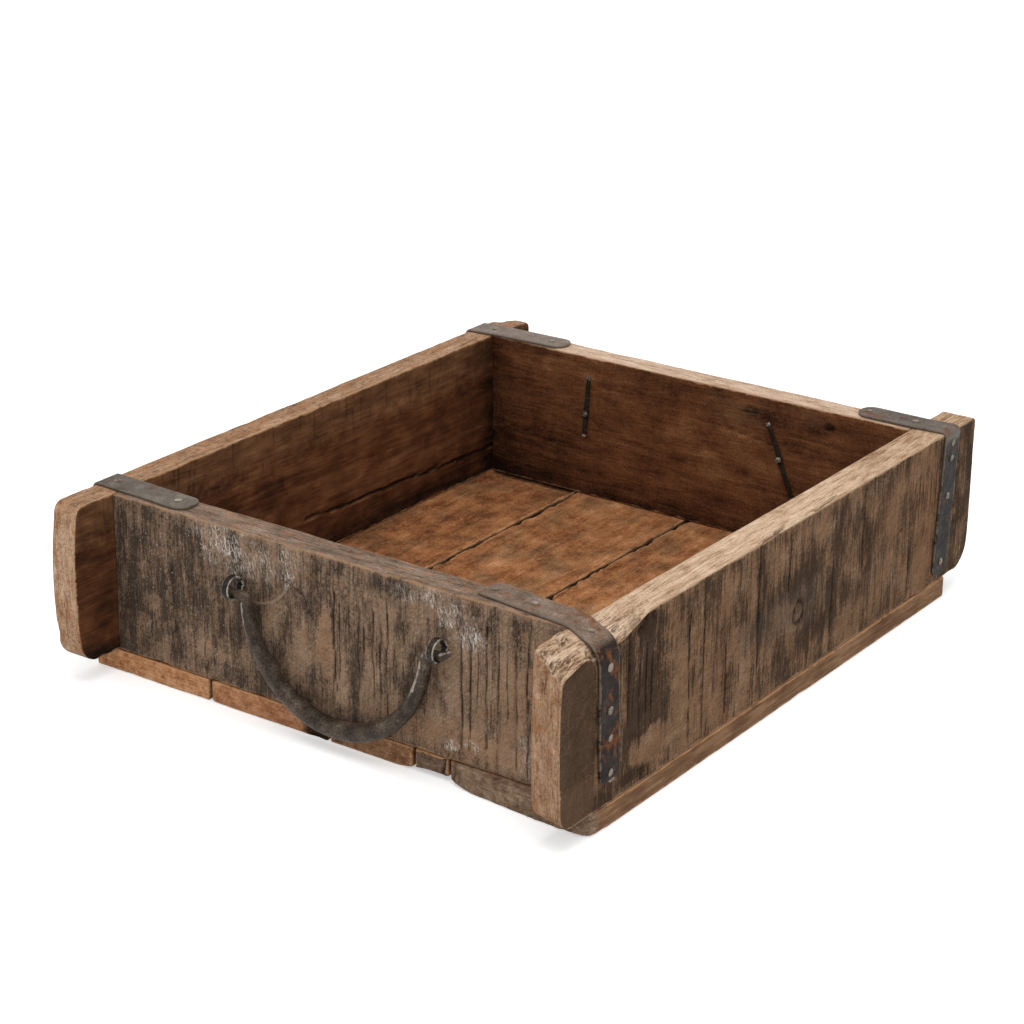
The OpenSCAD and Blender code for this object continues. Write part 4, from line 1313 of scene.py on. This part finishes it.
def plank_wood(number):
    lightness, end_colours = PLANKS[number]
    p = wood_paint(f"wood_floor_{number}", PLANK_AXES, 500 + 40 * number)
    tone = p.plus(p.field(
        (0.55, (12, 1.3, 1.3), 4, 0.62, 0.3), (0.7, (70, 9, 9), 3, 0.6, 0.5), (1.2, (20, 15, 15), 4, 0.66),
        (1.0, (1.4, 1.4, 1.4), 3, 0.65)), lightness)
    stain = p.fade(p.noise((40, 26, 26), 4, 0.62), 0.42, 0.66)
    colour = p.palette(tone, (72, 40, 22), (112, 68, 40), (152, 98, 60), (178, 124, 82), (204, 156, 112))
    olive = p.palette(tone, (58, 42, 28), (88, 66, 45), (118, 92, 64), (146, 118, 86))
    pits = p.fade(p.noise((3.2, 2.4, 2.4), 3), 0.66, 0.72)
    colour = p.cover(colour, (stain, 0.6, olive), (pits, 0.4, (66, 42, 26)))
    fibres = p.field(
        (0.8, (9, 12, 0.9), 4, 0.62), (1.2, (4, 4, 4), 4, 0.6), (1.2, (12, 16, 12), 4),
        (1.1, (1.2, 1.2, 1.2), 3, 0.65))
    end = (p.palette(fibres, *end_colours), fibres)
    flank = p.field((0.9, (24, 1, 0.9), 4, 0.62), (0.9, (50, 6, 3), 4, 0.6), (0.8, (26, 26, 12), 3))
    flanks = ((70, 48, 33), (98, 70, 50), (124, 93, 67), (152, 118, 88), (178, 146, 114))
    side = (p.palette(flank, *flanks), flank)
    below = (p.palette(flank, (60, 45, 34), (88, 68, 52), (118, 94, 74), (144, 120, 96)), flank)
    return finish_wood(p, below, (colour, tone), side, end, (196, 146, 102), 0.4)


def iron_paint(name, upper, lower, rust, seed, wear_and_highlight_tone, shine=(0.66, 0.46)):
    """Dark iron. upper and rust[0] are for what lies on the tray's top, lower and rust[1] for
    what is further down. The tone after seed is for rubbed edges, and on the bails it is also a
    painted highlight on the side towards the light, and shine is its roughness from dark to light."""
    p = Paint(name, seed=seed)
    low_down = p.fade(p.at(2), 117, 122, 1, 0)
    scale = p.field((1.1, (9, 9, 9), 4, 0.6), (1.3, (1.3, 1.3, 1.3), 3, 0.6), (1.0, (30, 30, 30), 3, 0.6))
    colour = p.blend(low_down, p.palette(scale, *upper), p.palette(scale, *lower))
    share = p.swap(low_down, *rust)
    patchy = p.plus(p.noise((12, 12, 12), 5, 0.66), share)
    rusted = p.fade(patchy, 0.62, 0.72)
    rusty = p.palette(p.noise((3, 3, 3), 4, 0.65), (46, 27, 17), (88, 52, 31), (130, 80, 47), (160, 108, 70))
    colour = p.cover(colour, (rusted, 0.8, rusty))
    # Lighter rims from the rim mask: rubbed edges, and on the bails also a painted highlight on their lit
    # side
    rim = p.fade(p.plus(p.mask("rim"), p.swing(2.4, (5, 5, 5), 4, 0.6)), 0.6, 1.1)
    colour = p.cover(colour, (rim, 0.8, wear_and_highlight_tone))
    p.bump(p.plus(scale, p.times(rusted, 0.15)), 0.3)
    p.shader.inputs["Specular IOR Level"].default_value = 0.15
    roughness = p.plus(p.fade(scale, 0, 1, *shine), p.times(rusted, 0.2))
    return p.finish(colour, roughness, p.fade(rusted, 0, 1, 0.12, 0.0))


# Each strap's colours on top and at the side, from dark to light, and its shares of rust
STRAP_LOOKS = {
    "front_left": (
        ((66, 57, 49), (84, 75, 65), (99, 89, 78), (130, 120, 108)),
        ((34, 28, 23), (50, 43, 37), (66, 58, 51), (90, 82, 74)), (0.02, 0.04)),
    "front_right": (
        ((76, 60, 48), (104, 86, 72), (126, 106, 90), (158, 138, 120)),
        ((14, 8, 4), (24, 14, 8), (38, 23, 13), (70, 52, 42)), (0.11, 0.09)),
    "rear_left": (
        ((96, 82, 70), (114, 99, 87), (130, 117, 107), (148, 138, 130)),
        ((36, 30, 26), (48, 42, 37), (60, 53, 47), (82, 76, 70)), (0.0, 0.05)),
    "rear_right": (
        ((68, 56, 46), (90, 81, 73), (104, 95, 87), (122, 112, 102)),
        ((20, 15, 11), (27, 22, 17), (38, 32, 26), (60, 54, 48)), (0.08, 0.02)),
}
NAIL_LOOK = ((56, 45, 36), (104, 91, 78), (150, 137, 121), (200, 190, 175))
BAIL_LOOK = ((26, 20, 15), (50, 41, 33), (78, 66, 55), (124, 108, 94))
EYE_LOOK = ((18, 14, 11), (34, 28, 23), (54, 46, 39), (94, 84, 74))
# Tones of rubbed edges; the bails' one is also their painted highlight on the lit side
STRAP_EDGE = (116, 105, 94)
NAIL_EDGE = (150, 142, 132)
BAIL_WEAR_AND_HIGHLIGHT = (172, 161, 148)
EYE_EDGE = (192, 182, 170)


def forged_paint(look, seed, edge):
    return iron_paint("forged_iron", look, look, (-0.02, -0.02), seed, edge, (0.5, 0.36))


# The whole object

side_board_right(right_board_wood())
side_board_left(left_board_wood())
front_board(front_board_wood())
rear_board(rear_board_wood())
for number in PLANKS:
    floor_plank(number, plank_wood(number))
nail_iron = iron_paint("nail_iron", NAIL_LOOK, NAIL_LOOK, (0.02, 0.04), 720, NAIL_EDGE)
# The bails' edge tone is also their painted highlight on the lit side
bail_iron = forged_paint(BAIL_LOOK, 740, BAIL_WEAR_AND_HIGHLIGHT)
eye_iron = forged_paint(EYE_LOOK, 760, EYE_EDGE)
rng = np.random.default_rng(7)
for index, (corner, look) in enumerate(STRAP_LOOKS.items()):
    corner_strap(corner, iron_paint("strap_iron", *look, 700 + 5 * index, STRAP_EDGE))
    strap_nails(corner, nail_iron, rng)
for index, node in enumerate(EYES):
    eye(node, eye_iron, 200 + index)
bail("front", bail_iron, 74.5, 1.8, 210)
bail("rear", bail_iron, 66, 0, 211)
for node in ("end_nails_left", "end_nails_right", "floor_nails"):
    slots = frame["nodes"][node].data.materials
    slots.clear()
    slots.append(nail_iron)


# Floor, light and camera

FLOOR_HALF = 6.0
FLOOR_GREY = 0.85
FLOOR_GLOW = 0.42
WORLD_LIGHT = 0.85


def seen_directly(tree):
    """1 for rays that come from the camera or by way of gloss or glass"""
    path = tree.nodes.new("ShaderNodeLightPath")
    total = path.outputs["Is Camera Ray"]
    for ray in ("Is Glossy Ray", "Is Transmission Ray"):
        either = tree.nodes.new("ShaderNodeMath")
        either.operation = "MAXIMUM"
        tree.links.new(total, either.inputs[0])
        tree.links.new(path.outputs[ray], either.inputs[1])
        total = either.outputs[0]
    return total


def studio():
    world = bpy.data.worlds.new("studio")
    world.use_nodes = True
    bpy.context.scene.world = world
    tree = world.node_tree
    background = tree.nodes["Background"]
    background.inputs["Color"].default_value = (1, 1, 1, 1)
    strength = tree.nodes.new("ShaderNodeMapRange")
    tree.links.new(seen_directly(tree), strength.inputs["Value"])
    strength.inputs["To Min"].default_value = WORLD_LIGHT
    strength.inputs["To Max"].default_value = 1
    tree.links.new(strength.outputs[0], background.inputs["Strength"])


def studio_floor():
    s = FLOOR_HALF
    corners = np.array([(-s, -s, 0), (s, -s, 0), (s, s, 0), (-s, s, 0)])
    floor = new_object("studio_floor", corners, np.array([[0, 1, 2, 3]]))
    p = Paint("studio_floor")
    p.shader.inputs["Specular IOR Level"].default_value = 0.0
    p.shader.inputs["Emission Color"].default_value = (1, 1, 1, 1)
    p.link(p.times(seen_directly(p.tree), FLOOR_GLOW), p.shader.inputs["Emission Strength"])
    floor.data.materials.append(p.finish((FLOOR_GREY, FLOOR_GREY, FLOOR_GREY, 1), 0.9))


def area_light(name, place_at, target, size, watts):
    light = bpy.data.lights.new(name, "AREA")
    light.shape = "DISK"
    light.size = size
    light.energy = watts
    lamp = put_in_scene(name, light)
    lamp.location = place_at
    aim = Vector(target) - Vector(place_at)
    lamp.rotation_euler = aim.to_track_quat("-Z", "Y").to_euler()


CAMERA_AT = (0.96799, -1.39611, 0.75575)
CAMERA_AIM = (-0.53606, 0.76058, -0.36627)
CAMERA_ROLL = math.radians(0.597)
CAMERA_LENS = 95.453


def camera():
    data = bpy.data.cameras.new("photo_view")
    data.lens = CAMERA_LENS
    data.sensor_width = 36
    made = put_in_scene("photo_view", data)
    made.location = CAMERA_AT
    turn = Vector(CAMERA_AIM).to_track_quat("-Z", "Y").to_matrix().to_4x4()
    made.rotation_euler = (turn @ Matrix.Rotation(CAMERA_ROLL, 4, "Z")).to_euler()
    bpy.context.scene.camera = made


studio()
studio_floor()
area_light("overhead", (0.3, -0.4, 2.2), (0, 0, 0.05), 1.6, 18)
camera()
bpy.context.scene.view_settings.view_transform = "Standard"
